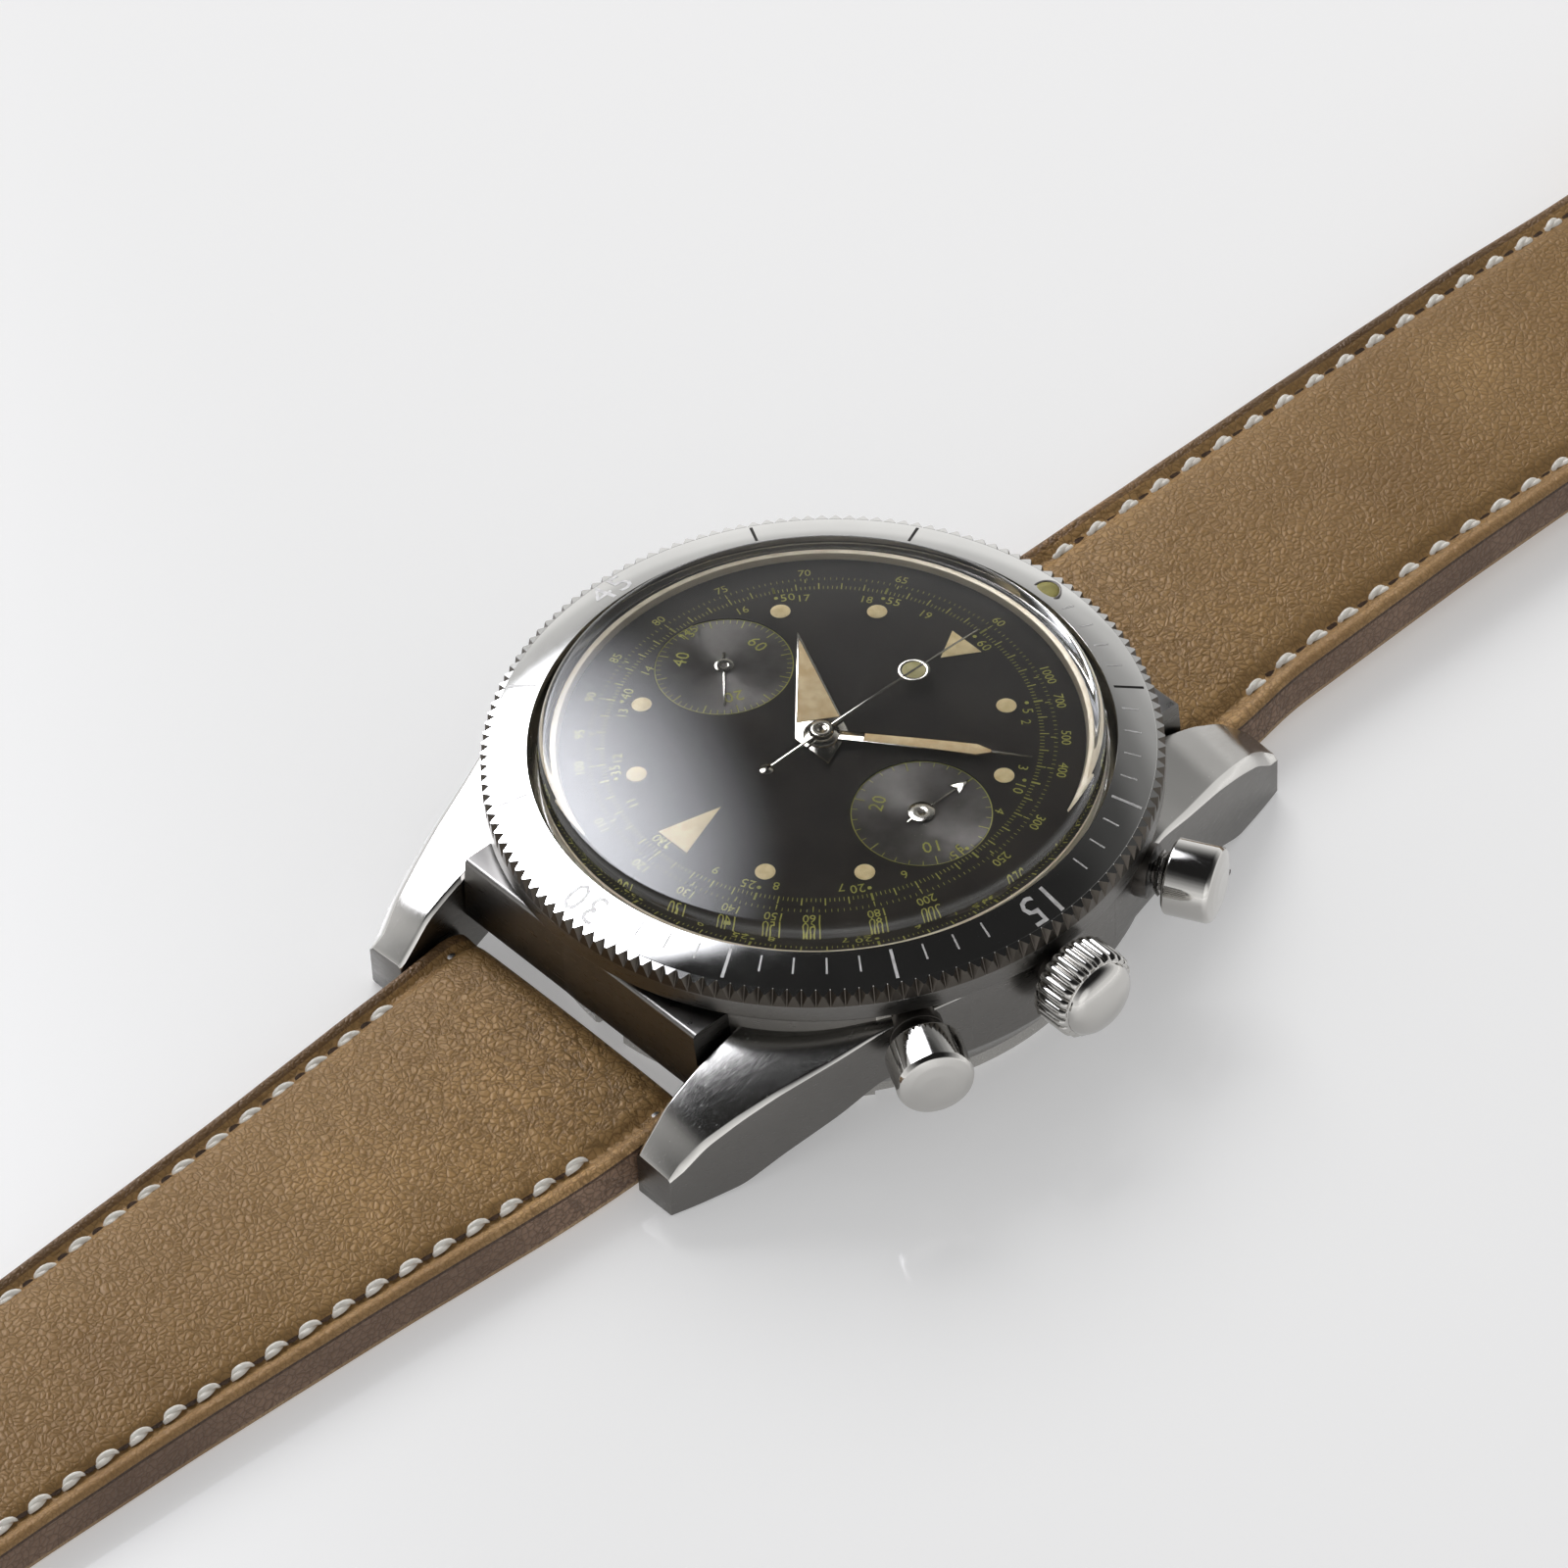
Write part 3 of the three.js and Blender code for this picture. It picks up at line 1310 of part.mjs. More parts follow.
function fourthWheel() {
  return geared({
    place: fourthPlace,
    top: smallArborTopZ,
    wheelZ: fourthWheelZ,
    teeth: fourthWheelTeeth,
    pitch: fourthWheelPitch,
    spokes: 3,
    leaves: fourthPinionLeaves,
    leafPitch: fourthPinionPitch,
    drivenZ: thirdWheelZ,
    driverTeeth: thirdWheelTeeth,
    from: thirdPlace,
  });
}
add("fourth_wheel", fourthWheel(), brass());

const escapeFootShare = 0.78;

function escapeWheel() {
  const shares = { tipShare: 0.16, footShare: 0.5, leanShare: 0.2 };
  const teeth = toothedShape(escapeTeeth, escapeRadius * escapeFootShare, escapeRadius, shares);
  const turnDeg = meshedTurn(0, fourthWheelTeeth, escapePinionLeaves, escapeTurnDeg);
  const pinion = pinionShape(escapePinionLeaves, escapePinionPitch, turnDeg);
  return arborWith(escapePlace, pivotBottomZ, pivotTopZ,
    extruded(bored(teeth, arborRadius), escapeWheelZ, escapeWheelZ + wheelThickness),
    extruded(
      bored(pinion, arborRadius),
      fourthWheelZ - pinionOverhang,
      fourthWheelZ + wheelThickness + pinionOverhang,
    ));
}
add("escape_wheel", escapeWheel(), steel());

// Pallet fork: a bar to the roller and two arms whose pallets stand just outside the escape wheel.
const palletSpreadDeg = 58;
const forkTipShare = 0.6;

function palletFork() {
  const pivotToBalance = balancePlace.distanceTo(forkPlace);
  const tail = pivotToBalance - rollerRadius - 2 * tipGap;
  const half = forkWidth / 2;
  const palletPlace = (side) => {
    const around = polar(escapeRadius + palletGap, 0).rotateAround(centre, radians(side * palletSpreadDeg));
    return new THREE.Vector2(around.x - forkPivotFromEscape, around.y);
  };
  const arm = (side) => {
    const tip = palletPlace(side);
    const far = tip.clone().add(polar(forkWidth, side * palletSpreadDeg));
    const points = [
      [0, 0],
      [forkWidth, 0],
      [forkWidth, far.y + side * half],
      [far.x, far.y],
      [tip.x, tip.y],
      [0, tip.y - side * half],
    ];
    return shapeOf(side > 0 ? points : points.reverse());
  };
  const tip = half * forkTipShare;
  const bar = shapeOf([[0, -half], [tail, -tip], [tail, tip], [0, half]]);
  const [bottom, top] = [escapeWheelZ, escapeWheelZ + forkThickness];
  const body = joined(
    prism(arborRadius, pivotBottomZ, pivotTopZ),
    tube(arborRadius, forkHubRadius, bottom, top, pinSegments),
    extruded(bar, bottom, top),
    extruded(arm(1), bottom, top),
    extruded(arm(-1), bottom, top),
  );
  return moved(body.rotateZ(Math.atan2(towardsBalance.y, towardsBalance.x)), forkPlace);
}
add("pallet_fork", palletFork(), steel());

// Balance with its roller, and the spiral spring below it.
const balanceArms = 3;
const balanceOpeningDeg = [8, 112];
const balanceHubShare = 1.3;

function balance() {
  const rim = circleShape(balanceRadius);
  const inner = balanceRadius - balanceRimWidth;
  for (let k = 0; k < balanceArms; k++) {
    const [from, to] = balanceOpeningDeg.map((angle) => angle + (360 * k) / balanceArms);
    const hub = balanceRimWidth * balanceHubShare;
    const opening = [...arcPoints(inner, from, to, 6), ...arcPoints(hub, to, from, 2)];
    rim.holes.push(new THREE.Path(opening));
  }
  bored(rim, arborRadius);
  const wheel = { depth: balanceThickness, bevelEnabled: false, curveSegments: smallSegments };
  return arborWith(balancePlace, pivotBottomZ, pivotTopZ,
    new THREE.ExtrudeGeometry(rim, wheel).translate(0, 0, balanceZ),
    tube(arborRadius, rollerRadius, rollerZ, rollerZ + wheelThickness, pinSegments));
}
add("balance_wheel", balance(), brass());

function hairspring() {
  const steps = hairspringTurns * smallSegments;
  const side = (offset) => Array.from({ length: steps + 1 }, (_, k) => {
    const turns = (hairspringTurns * k) / steps;
    return polar(hairspringInner + hairspringPitch * turns + offset, 360 * turns);
  });
  const outline = shapeOf([...side(hairspringTape), ...side(0).reverse()]);
  return moved(extruded(outline, hairspringZ, hairspringZ + hairspringHeight), balancePlace);
}
add("hairspring", hairspring(), steel());

// Ratchet wheel with the barrel arbor, the click, and the crown wheel whose upright teeth meet the stem's
// winding pinion.
const [ratchetPitch, crownWheelPitch] = pitches(ratchetToCrownWheel, ratchetTeeth, crownWheelTeeth);
const windingTopZ = windingWheelZ + windingWheelThickness;

function ratchetWheel() {
  const wheel = bored(wheelShape(ratchetTeeth, ratchetPitch), barrelArborRadius);
  const arbor = prism(barrelArborRadius, windingWheelZ, plateTopZ);
  return moved(joined(extruded(wheel, windingWheelZ, windingTopZ), arbor), ratchetCentre);
}
add("ratchet_wheel", ratchetWheel(), steel());

// The click's tail and beak as shares of half its width and of its reach towards the ratchet wheel.
const clickTailShare = 0.6;
const clickBeakShares = [0.9, 0.4];
const clickBossShare = 1.6;

function click() {
  const tipRadius = wheelTip(ratchetTeeth, ratchetPitch) + tipGap;
  const inwards = clickPivotOffset - tipRadius;
  const half = clickWidth / 2;
  const shape = shapeOf([
    [-half, -half],
    [half * clickTailShare, -half],
    ...clickBeakShares.map((share) => [inwards * share, clickLength]),
    [-half, half],
  ]);
  const bore = rod(studRadius + pivotGap, windingWheelZ - overrun, windingTopZ + overrun, pinSegments);
  const boss = rod(studRadius * clickBossShare, windingWheelZ, windingTopZ, pinSegments);
  const body = cut(joined(extruded(shape, windingWheelZ, windingTopZ), boss), bore);
  return moved(body.rotateZ(radians(clickTurnDeg + 180)), clickPivot);
}
add("click", click(), steel());

const contrateToothShare = 0.34;

function crownWheel() {
  const direction = directionDeg(ratchetCentre, crownWheelCentre);
  const turnDeg = meshedTurn(0, ratchetTeeth, crownWheelTeeth, direction);
  const sides = contrateTeeth * 2;
  const spur = bored(wheelShape(crownWheelTeeth, crownWheelPitch, turnDeg), contrateOuter, sides);
  const collar = tube(contrateInner, contrateOuter, windingWheelZ, contrateTopZ, sides);
  const gaps = Array.from({ length: contrateTeeth }, (_, k) => {
    const half = (arcPitch(contrateTeeth, contrateMiddle) * (1 - contrateToothShare)) / 2;
    return box(
      [contrateInner - overrun, contrateOuter + overrun],
      [-half, half],
      [contrateTopZ - contrateToothHeight, contrateTopZ + overrun],
    ).rotateZ((2 * Math.PI * k) / contrateTeeth);
  });
  const body = joined(extruded(spur, windingWheelZ, windingTopZ), collar);
  return moved(cut(body, ...gaps), crownWheelCentre);
}
add("crown_wheel", crownWheel(), steel());

function windingPinion() {
  const foot = windingPinionTip - contrateToothHeight;
  const leaves = toothedShape(windingPinionLeaves, foot, windingPinionTip, {
    tipShare: leafTipShare,
    footShare: leafFootShare,
  });
  const end = windingPinionX + windingPinionLength;
  return onStemAxis(extruded(bored(leaves, stemRadius + pivotGap, smallSegments), windingPinionX, end));
}
add("winding_pinion", windingPinion(), steel());

const setToothFootShare = 0.72;
const setToothTipShare = 0.95;
const slidingGrooveShares = [0.35, 0.62];

function slidingPinion() {
  const end = slidingPinionX + slidingPinionLength;
  const [grooveFrom, grooveTo] = slidingGrooveShares.map((share) =>
    slidingPinionX + slidingPinionLength * share);
  const [foot, tip] = [setToothFootShare, setToothTipShare].map((share) => slidingPinionRadius * share);
  const teeth = toothedShape(setToothCount, foot, tip, { tipShare: leafTipShare, footShare: leafFootShare });
  const squareCorner = Math.SQRT2 * (stemSquare / 2 + pivotGap);
  const core = shapeOf(polygonPoints(slidingGrooveRadius, smallSegments));
  const square = polygonPoints(squareCorner, 4).map((point) => point.rotateAround(centre, Math.PI / 4));
  core.holes.push(new THREE.Path(square));
  return onStemAxis(joined(
    extruded(core, slidingPinionX, end),
    extruded(bored(teeth, slidingGrooveRadius, smallSegments), slidingPinionX, grooveFrom),
    tube(slidingGrooveRadius, slidingPinionRadius, grooveTo, end),
  ));
}
add("sliding_pinion", slidingPinion(), steel());

// Motion work between plate and dial.
const [cannonPitch, minuteWheelPitch] = pitches(motionDistance, cannonLeaves, minuteWheelTeeth);
const [minutePinionPitch, hourWheelPitch] = pitches(motionDistance, minutePinionLeaves, hourWheelTeeth);
const lowMotionTopZ = motionWheelZ + motionWheelThickness;
const highMotionZ = lowMotionTopZ + pivotGap;
const highMotionTopZ = highMotionZ + motionWheelThickness;

function cannonPinion() {
  const leaves = bored(pinionShape(cannonLeaves, cannonPitch), cannonTubeRadius, smallSegments);
  return joined(
    extruded(leaves, motionWheelZ, lowMotionTopZ),
    tube(centreArborRadius + pivotGap, cannonTubeRadius, motionWheelZ, cannonTopZ),
  );
}
add("cannon_pinion", cannonPinion(), steel());

function minuteWheel() {
  const turnDeg = meshedTurn(0, cannonLeaves, minuteWheelTeeth, motionTurnDeg);
  const wheel = bored(wheelShape(minuteWheelTeeth, minuteWheelPitch, turnDeg), studRadius + pivotGap);
  const leaves = bored(pinionShape(minutePinionLeaves, minutePinionPitch), studRadius + pivotGap);
  const low = extruded(wheel, motionWheelZ, lowMotionTopZ);
  const high = extruded(leaves, lowMotionTopZ, highMotionTopZ);
  return moved(joined(low, high), minuteWheelPlace);
}
add("minute_wheel", minuteWheel(), brass());

function hourWheel() {
  const turnDeg = meshedTurn(0, minutePinionLeaves, hourWheelTeeth, motionTurnDeg + 180);
  const wheel = bored(wheelShape(hourWheelTeeth, hourWheelPitch, turnDeg), hourTubeRadius, smallSegments);
  return joined(
    extruded(wheel, highMotionZ, highMotionTopZ),
    tube(cannonTubeRadius + pivotGap, hourTubeRadius, highMotionZ, hourHandZ + handThickness),
  );
}
add("hour_wheel", hourWheel(), brass());

// Chronograph work: its bridge, the sweep runner, the wheels that count minutes, and the two levers.
const chronoBridgeTopZ = chronoBridgeZ + chronoBridgeThickness;
const pillarPlaces = [
  new THREE.Vector2(leftPillarX, leftPillarY),
  new THREE.Vector2(rightPillarX, rightPillarY),
];

const transferPitch = (recordingPitch * transferTeeth) / recordingTeeth;
const transferPlace = new THREE.Vector2(registerOffset - recordingPitch - transferPitch, 0);

// A band of the given width along the points.
function wayShape(points, width) {
  const along = points.map((point, k) => {
    const [before, after] = [points[Math.max(k - 1, 0)], points[Math.min(k + 1, points.length - 1)]];
    return after.clone().sub(before).normalize();
  });
  const side = (sign) => points.map((point, k) =>
    new THREE.Vector2(point.x - (sign * along[k].y * width) / 2, point.y + (sign * along[k].x * width) / 2));
  return shapeOf([...side(-1), ...side(1).reverse()]);
}

function chronoBridge() {
  const way = [pillarPlaces[0], centre, registers[0], pillarPlaces[1]];
  const pillars = pillarPlaces.map((place) => [
    moved(rod(pillarRadius, chronoBridgeZ + seatGap, bridgeZ - seatGap, pinSegments), place),
    moved(rod(chronoBridgeWidth / 2, chronoBridgeZ, chronoBridgeTopZ, smallSegments), place),
  ]).flat();
  const arm = extruded(wayShape(way, chronoBridgeWidth), chronoBridgeZ, chronoBridgeTopZ);
  const body = joined(arm, ...pillars);
  const holes = [centre, transferPlace, registers[0]].map((place) =>
    hole(place, arborRadius + pivotGap, chronoBridgeZ, chronoBridgeTopZ));
  return cut(body, ...holes);
}
add("chrono_bridge", chronoBridge(), nickel());

const chronoArborBottomZ = chronoBridgeZ + pivotGap;
const leverTopZ = leverZ + leverThickness;

// A heart cam, notched where the hammer comes to rest.
const heartNotchDeg = 40;

function heart() {
  const lobes = arcPoints(heartRadius, heartNotchDeg, 360 - heartNotchDeg, pinSegments);
  const outline = shapeOf([...lobes, [heartRadius / 2, 0]]);
  return extruded(bored(outline, arborRadius), leverZ, leverTopZ);
}

function chronoRunner() {
  const reach = transferPlace.x - wheelTip(transferTeeth, transferPitch) - tipGap;
  const finger = shapeOf([[-arborRadius, 0], [arborRadius, 0], [0, reach]]);
  const wheel = bored(withCrossings(wheelShape(runnerTeeth, runnerRadius), runnerRadius, 4), arborRadius);
  return arborWith(centre, chronoArborBottomZ, sweepHandZ + handThickness - seatGap,
    extruded(wheel, runnerZ, runnerZ + runnerThickness),
    extruded(finger, recordingZ, recordingZ + runnerThickness),
    heart());
}
add("chrono_runner", chronoRunner(), brass());

function recordingWheel() {
  const turnDeg = meshedTurn(0, transferTeeth, recordingTeeth, 0);
  const wheel = bored(wheelShape(recordingTeeth, recordingPitch, turnDeg), arborRadius);
  return arborWith(registers[0], chronoArborBottomZ, smallArborTopZ,
    extruded(wheel, recordingZ, recordingZ + runnerThickness),
    heart());
}
add("minute_recording_wheel", recordingWheel(), brass());

// The transfer wheel passes the runner's turns on to the wheel that counts minutes.
function transferWheel() {
  const wheel = bored(wheelShape(transferTeeth, transferPitch), arborRadius);
  return arborWith(transferPlace, chronoArborBottomZ, recordingZ + 2 * runnerThickness,
    extruded(wheel, recordingZ, recordingZ + runnerThickness));
}
add("transfer_wheel", transferWheel(), brass());

const columnFootShare = 0.8;
const columnLeanShare = 0.35;
const columnSides = 6;

function columnWheel() {
  const top = runnerZ + runnerThickness;
  const shares = { leanShare: columnLeanShare };
  const foot = columnRatchetRadius * columnFootShare;
  const ratchet = bored(
    toothedShape(columnRatchetTeeth, foot, columnRatchetRadius, shares),
    studRadius + pivotGap,
  );
  const columns = Array.from({ length: columnCount }, (_, k) => {
    const place = polar(columnRingRadius, (360 * k) / columnCount);
    return moved(prism(columnRadius, runnerZ + seatGap, top + columnHeight, columnSides), place);
  });
  return moved(joined(extruded(ratchet, runnerZ, top), ...columns), columnPlace);
}
add("column_wheel", columnWheel(), steel());

const leverBossShare = 0.7;

// A lever turns on a stud and carries an upright post that a pusher's stem pushes inwards.
function lever(pivot, turnDeg, ways) {
  const post = polar(leverPostPlace, turnDeg);
  const arms = [[pivot, post], ...ways].map((way) => extruded(wayShape(way, leverWidth), leverZ, leverTopZ));
  const body = joined(
    ...arms,
    moved(rod(leverPostRadius, leverZ, leverPostTopZ, pinSegments), post),
    moved(rod(leverWidth * leverBossShare, leverZ, leverTopZ, pinSegments), pivot),
  );
  return cut(body, hole(pivot, studRadius + pivotGap, leverZ, leverTopZ));
}
const operatingReach = new THREE.Vector2(columnRatchetRadius + leverWidth / 2, -leverWidth / 4);
const operatingTip = columnPlace.clone().add(operatingReach);
const operatingLever = lever(operatingPivot, pusherTurnDeg, [[operatingPivot, operatingTip]]);
add("operating_lever", operatingLever, steel());

const hammerFoot = new THREE.Vector2(hammerStandOff + hammerHeadWidth, hammerBarY);
const hammerFar = new THREE.Vector2(registerOffset + hammerStandOff + hammerHeadWidth / 2, hammerBarY);
const hammerWays = [
  [hammerPivot, new THREE.Vector2((hammerFoot.x + hammerFar.x) / 2, hammerBarY)],
  [hammerFoot, hammerFar],
  [hammerFoot, new THREE.Vector2(hammerFoot.x, hammerHeadY)],
  [hammerFar, new THREE.Vector2(hammerFar.x, hammerHeadY)],
];
add("reset_hammer", lever(hammerPivot, -pusherTurnDeg, hammerWays), steel());

// Strap halves. Each is a loft away from its spring bar: [distance, half-width, lift, edge height, pad
// height], the distance as a share of the half's length and the rest as shares of the named sizes.
const buckleShares = [
  [0, 1.068, 0.27, 0.9, 1.02],
  [0.04, 1.062, 0.24, 0.88, 1.02],
  [0.1, 1.02, 0.75, 0.85, 1],
  [0.3, 1, 1, 0.85, 0.97],
  [0.55, 1, 1, 0.82, 0.9],
  [0.66, 1, 1, 0.7, 0.72],
  [1, 0.98, 1, 0.66, 0.66],
];
const tailShares = [
  [0, 1.31, 0.3, 0.9, 1.02],
  [0.026, 1.303, 0.12, 0.86, 1.04],
  [0.07, 1.27, 0.02, 0.85, 1],
  [0.165, 1.153, 0.02, 0.85, 1],
  [0.234, 1.093, 0.02, 0.85, 0.98],
  [0.286, 1.047, 0.02, 0.84, 0.95],
  [0.38, 1, 0.02, 0.8, 0.86],
  [0.55, 1, 0.02, 0.66, 0.66],
  [0.92, 1, 0.02, 0.6, 0.6],
  [0.97, 0.8, 0.02, 0.58, 0.58],
  [1, 0.25, 0.02, 0.56, 0.56],
];
const keeperLift = keeperWall + keeperSlack / 2;
const channelShare = 0.8;
const lowPadShare = 0.93;

// The cross-section has an edge, a stitched channel inside it and a padded middle.
function strapOutline(halfWidth, lift, edge, pad) {
  const [edgeZ, padZ] = [lift + edge, lift + pad];
  const padded = pad > edge;
  const channelZ = padded ? lift + edge * channelShare : edgeZ;
  const shoulderZ = padded ? lift + pad * lowPadShare : edgeZ;
  const insets = [
    [0, edgeZ],
    [strapRimWidth, edgeZ],
    [strapChannelInset, channelZ],
    [strapPadInset, shoulderZ],
  ];
  const scale = Math.min(1, halfWidth / strapHalfWidth);
  const right = insets.map(([inset, z]) => [halfWidth - inset * scale, z]);
  const left = right.map(([x, z]) => [-x, z]).reverse();
  return [[-halfWidth, lift], [halfWidth, lift], ...right, [0, padZ], ...left];
}

function strapHalf(side, length, width, shares) {
  const sections = shares.map(([along, across, lift, edge, pad]) => ({
    y: springBarOffset + length * along,
    outline: strapOutline(width * across, keeperLift * lift, strapPadHeight * edge, strapPadHeight * pad),
  }));
  const endHalf = lugGap / 2 - strapSlack;
  const end = rod(strapEndRadius, -endHalf, endHalf)
    .rotateY(Math.PI / 2)
    .translate(0, springBarOffset, springBarZ);
  const bore = rod(springBarRadius + 2 * pivotGap, -endHalf - overrun, endHalf + overrun)
    .rotateY(Math.PI / 2)
    .translate(0, springBarOffset, springBarZ);
  const away = box(
    [-lugGap, lugGap],
    [springBarOffset - 2 * strapEndRadius, springBarOffset],
    [-overrun, springBarZ - strapEndRadius],
  );
  return mirrored(cut(joined(lofted(sections), end), bore, away), 1, side);
}

// Buckle half: its free end wraps the buckle's bar and is slotted for the tang.
const buckleBarY = springBarOffset + buckleStrapLength;

function buckleStrap() {
  const endHalf = strapHalfWidth * buckleShares.at(-1)[1];
  const endRadius = buckleBarZ - keeperLift;
  const wrap = rod(endRadius, -endHalf, endHalf).rotateY(Math.PI / 2).translate(0, buckleBarY, buckleBarZ);
  const bore = rod(buckleBarRadius + 2 * pivotGap, -endHalf - overrun, endHalf + overrun)
    .rotateY(Math.PI / 2)
    .translate(0, buckleBarY, buckleBarZ);
  const slot = box(
    [-tangSlotHalf, tangSlotHalf],
    [buckleBarY - tangSlotLength / 2, buckleBarY + tangSlotLength],
    [-overrun, strapPadHeight + keeperLift + overrun],
  );
  const half = strapHalf(1, buckleStrapLength, strapHalfWidth, buckleShares);
  return cut(joined(half, wrap), bore, slot);
}
add("strap_buckle_side", buckleStrap(), leather());

// Tail half: punched with a row of holes, each fit for the tang.
function tailStrap() {
  const half = strapHalf(-1, tailLength, tailHalfWidth, tailShares);
  const tipY = -springBarOffset - tailLength;
  const holes = Array.from({ length: tailHoleCount }, (_, k) => {
    const place = new THREE.Vector2(0, tipY + tailHoleFromTip + tailHolePitch * k);
    return hole(place, tailHoleRadius, 0, strapPadHeight);
  });
  return cut(half, ...holes);
}
add("strap_tail_side", tailStrap(), leather());

// Buckle: a rounded frame whose arms hold the bar, leaning on the table, and the tang across it.
function bucklePiece(geometry) {
  return geometry
    .translate(0, 0, -buckleThickness / 2)
    .rotateX(-radians(buckleTiltDeg))
    .translate(0, buckleBarY, buckleBarZ);
}

const cornerShare = 0.3;

function buckleFrame() {
  const outerHalf = buckleInnerHalf + buckleArmWidth;
  const outline = shapeOf([
    [-outerHalf, -buckleEarLength],
    [-buckleInnerHalf, -buckleEarLength],
    [-buckleInnerHalf, buckleReach - buckleArmWidth],
    [buckleInnerHalf, buckleReach - buckleArmWidth],
    [buckleInnerHalf, -buckleEarLength],
    [outerHalf, -buckleEarLength],
    [outerHalf, buckleReach - buckleCorner],
    [outerHalf - buckleCorner * cornerShare, buckleReach - buckleCorner * cornerShare],
    [outerHalf - buckleCorner, buckleReach],
    [-outerHalf + buckleCorner, buckleReach],
    [-outerHalf + buckleCorner * cornerShare, buckleReach - buckleCorner * cornerShare],
    [-outerHalf, buckleReach - buckleCorner],
  ]);
  const barHole = rod(buckleBarRadius + seatGap, -outerHalf - overrun, outerHalf + overrun)
    .rotateY(Math.PI / 2)
    .translate(0, 0, buckleThickness / 2);
  return bucklePiece(cut(extruded(outline, 0, buckleThickness), barHole));
}
add("buckle_frame", buckleFrame(), polishedSteel());

const barHalfShare = 0.8;
const barHalf = buckleInnerHalf + buckleArmWidth * barHalfShare;
const buckleBar = rod(buckleBarRadius, -barHalf, barHalf)
  .rotateY(Math.PI / 2)
  .translate(0, buckleBarY, buckleBarZ);
add("buckle_bar", buckleBar, steel());

function tang() {
  const half = tangWidth / 2;
  const eye = buckleBarRadius + 2 * pivotGap + tangThickness;
  const [low, high] = [buckleThickness + pivotGap, buckleThickness + pivotGap + tangThickness];
  const side = shapeOf([
    [0, buckleThickness / 2],
    [eye, buckleThickness / 2],
    [eye, low],
    [buckleReach + pivotGap, low],
    [buckleReach + pivotGap, high - tangThickness / 3],
    [buckleReach - tangThickness, high],
    [0, high],
  ]);
  const blade = extruded(side, -half, half).applyMatrix4(
    new THREE.Matrix4().makeBasis(
      new THREE.Vector3(0, 1, 0),
      new THREE.Vector3(0, 0, 1),
      new THREE.Vector3(1, 0, 0),
    ),
  );
  const loop = rod(eye, -half, half).rotateY(Math.PI / 2).translate(0, 0, buckleThickness / 2);
  const bore = rod(buckleBarRadius + 2 * pivotGap, -overrun - half, half + overrun)
    .rotateY(Math.PI / 2)
    .translate(0, 0, buckleThickness / 2);
  return bucklePiece(cut(joined(blade, loop), bore));
}
add("buckle_tang", tang(), polishedSteel());

// Keepers: closed loops that stand on the table, with room for both halves of the strap inside.
function keeper(fromBar) {
  const half = strapHalfWidth + keeperSlack;
  const y = buckleBarY - fromBar;
  const outer = box(
    [-half - keeperWall, half + keeperWall],
    [y - keeperLength, y],
    [0, keeperInnerHeight + 2 * keeperWall],
  );
  const inner = box(
    [-half, half],
    [y - keeperLength - overrun, y + overrun],
    [keeperWall, keeperInnerHeight + keeperWall],
  );
  return cut(outer, inner);
}
add("keeper_fixed", keeper(fixedKeeperFromBar), leather());
add("keeper_loose", keeper(looseKeeperFromBar), leather());

export default watch;
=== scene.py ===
# %% [markdown]
# # A chronograph wristwatch on a tan leather strap
# The solids of the watch are loaded first and stay where they are. Everything below dresses them: the steel
# is turned and beveled finely, the dial is printed, the hands are filled, and the strap is padded and sewn.
# All lengths in this file are written in millimetres and multiplied by MM, because Blender works in metres.

# %% Load the solids
import math
import bpy
import numpy as np
from mathutils import Matrix, Vector, noise


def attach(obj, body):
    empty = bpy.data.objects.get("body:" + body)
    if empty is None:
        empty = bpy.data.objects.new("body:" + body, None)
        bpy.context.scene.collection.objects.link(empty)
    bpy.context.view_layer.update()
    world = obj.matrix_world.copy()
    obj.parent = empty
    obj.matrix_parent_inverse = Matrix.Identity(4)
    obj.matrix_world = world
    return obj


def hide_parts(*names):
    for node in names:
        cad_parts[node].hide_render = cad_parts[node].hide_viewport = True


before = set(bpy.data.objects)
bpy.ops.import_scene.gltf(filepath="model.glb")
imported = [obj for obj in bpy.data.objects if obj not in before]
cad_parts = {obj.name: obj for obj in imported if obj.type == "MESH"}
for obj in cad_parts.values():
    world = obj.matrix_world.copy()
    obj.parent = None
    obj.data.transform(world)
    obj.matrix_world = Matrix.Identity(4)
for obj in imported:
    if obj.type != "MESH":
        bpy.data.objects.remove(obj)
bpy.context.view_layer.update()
MM = 0.001

# %% [markdown]
# ## Camera
# The photograph was taken from the front right, 45 degrees above the table, with a long lens. The bezel's two
# circles, the lugs and the strap gave its place: the azimuth, the height and the small roll below.
# A camera looks along its own minus Z, so its Z axis is the direction from the watch to the lens.

# %% Camera
AZIMUTH, ELEVATION, ROLL = math.radians(49.467), math.radians(44.76), math.radians(-2.992)
LENS_DISTANCE = 495.9
AIM = Vector((-7.989, 3.824, 0))
FOCAL_PIXELS, FRAME_PIXELS, SENSOR = 8648, 1600, 36

towards_lens = Vector((
    math.sin(AZIMUTH) * math.cos(ELEVATION),
    -math.cos(AZIMUTH) * math.cos(ELEVATION),
    math.sin(ELEVATION),
))
level = Vector((math.cos(AZIMUTH), math.sin(AZIMUTH), 0))
upright = towards_lens.cross(level)
right = level * math.cos(ROLL) + upright * math.sin(ROLL)
up = upright * math.cos(ROLL) - level * math.sin(ROLL)

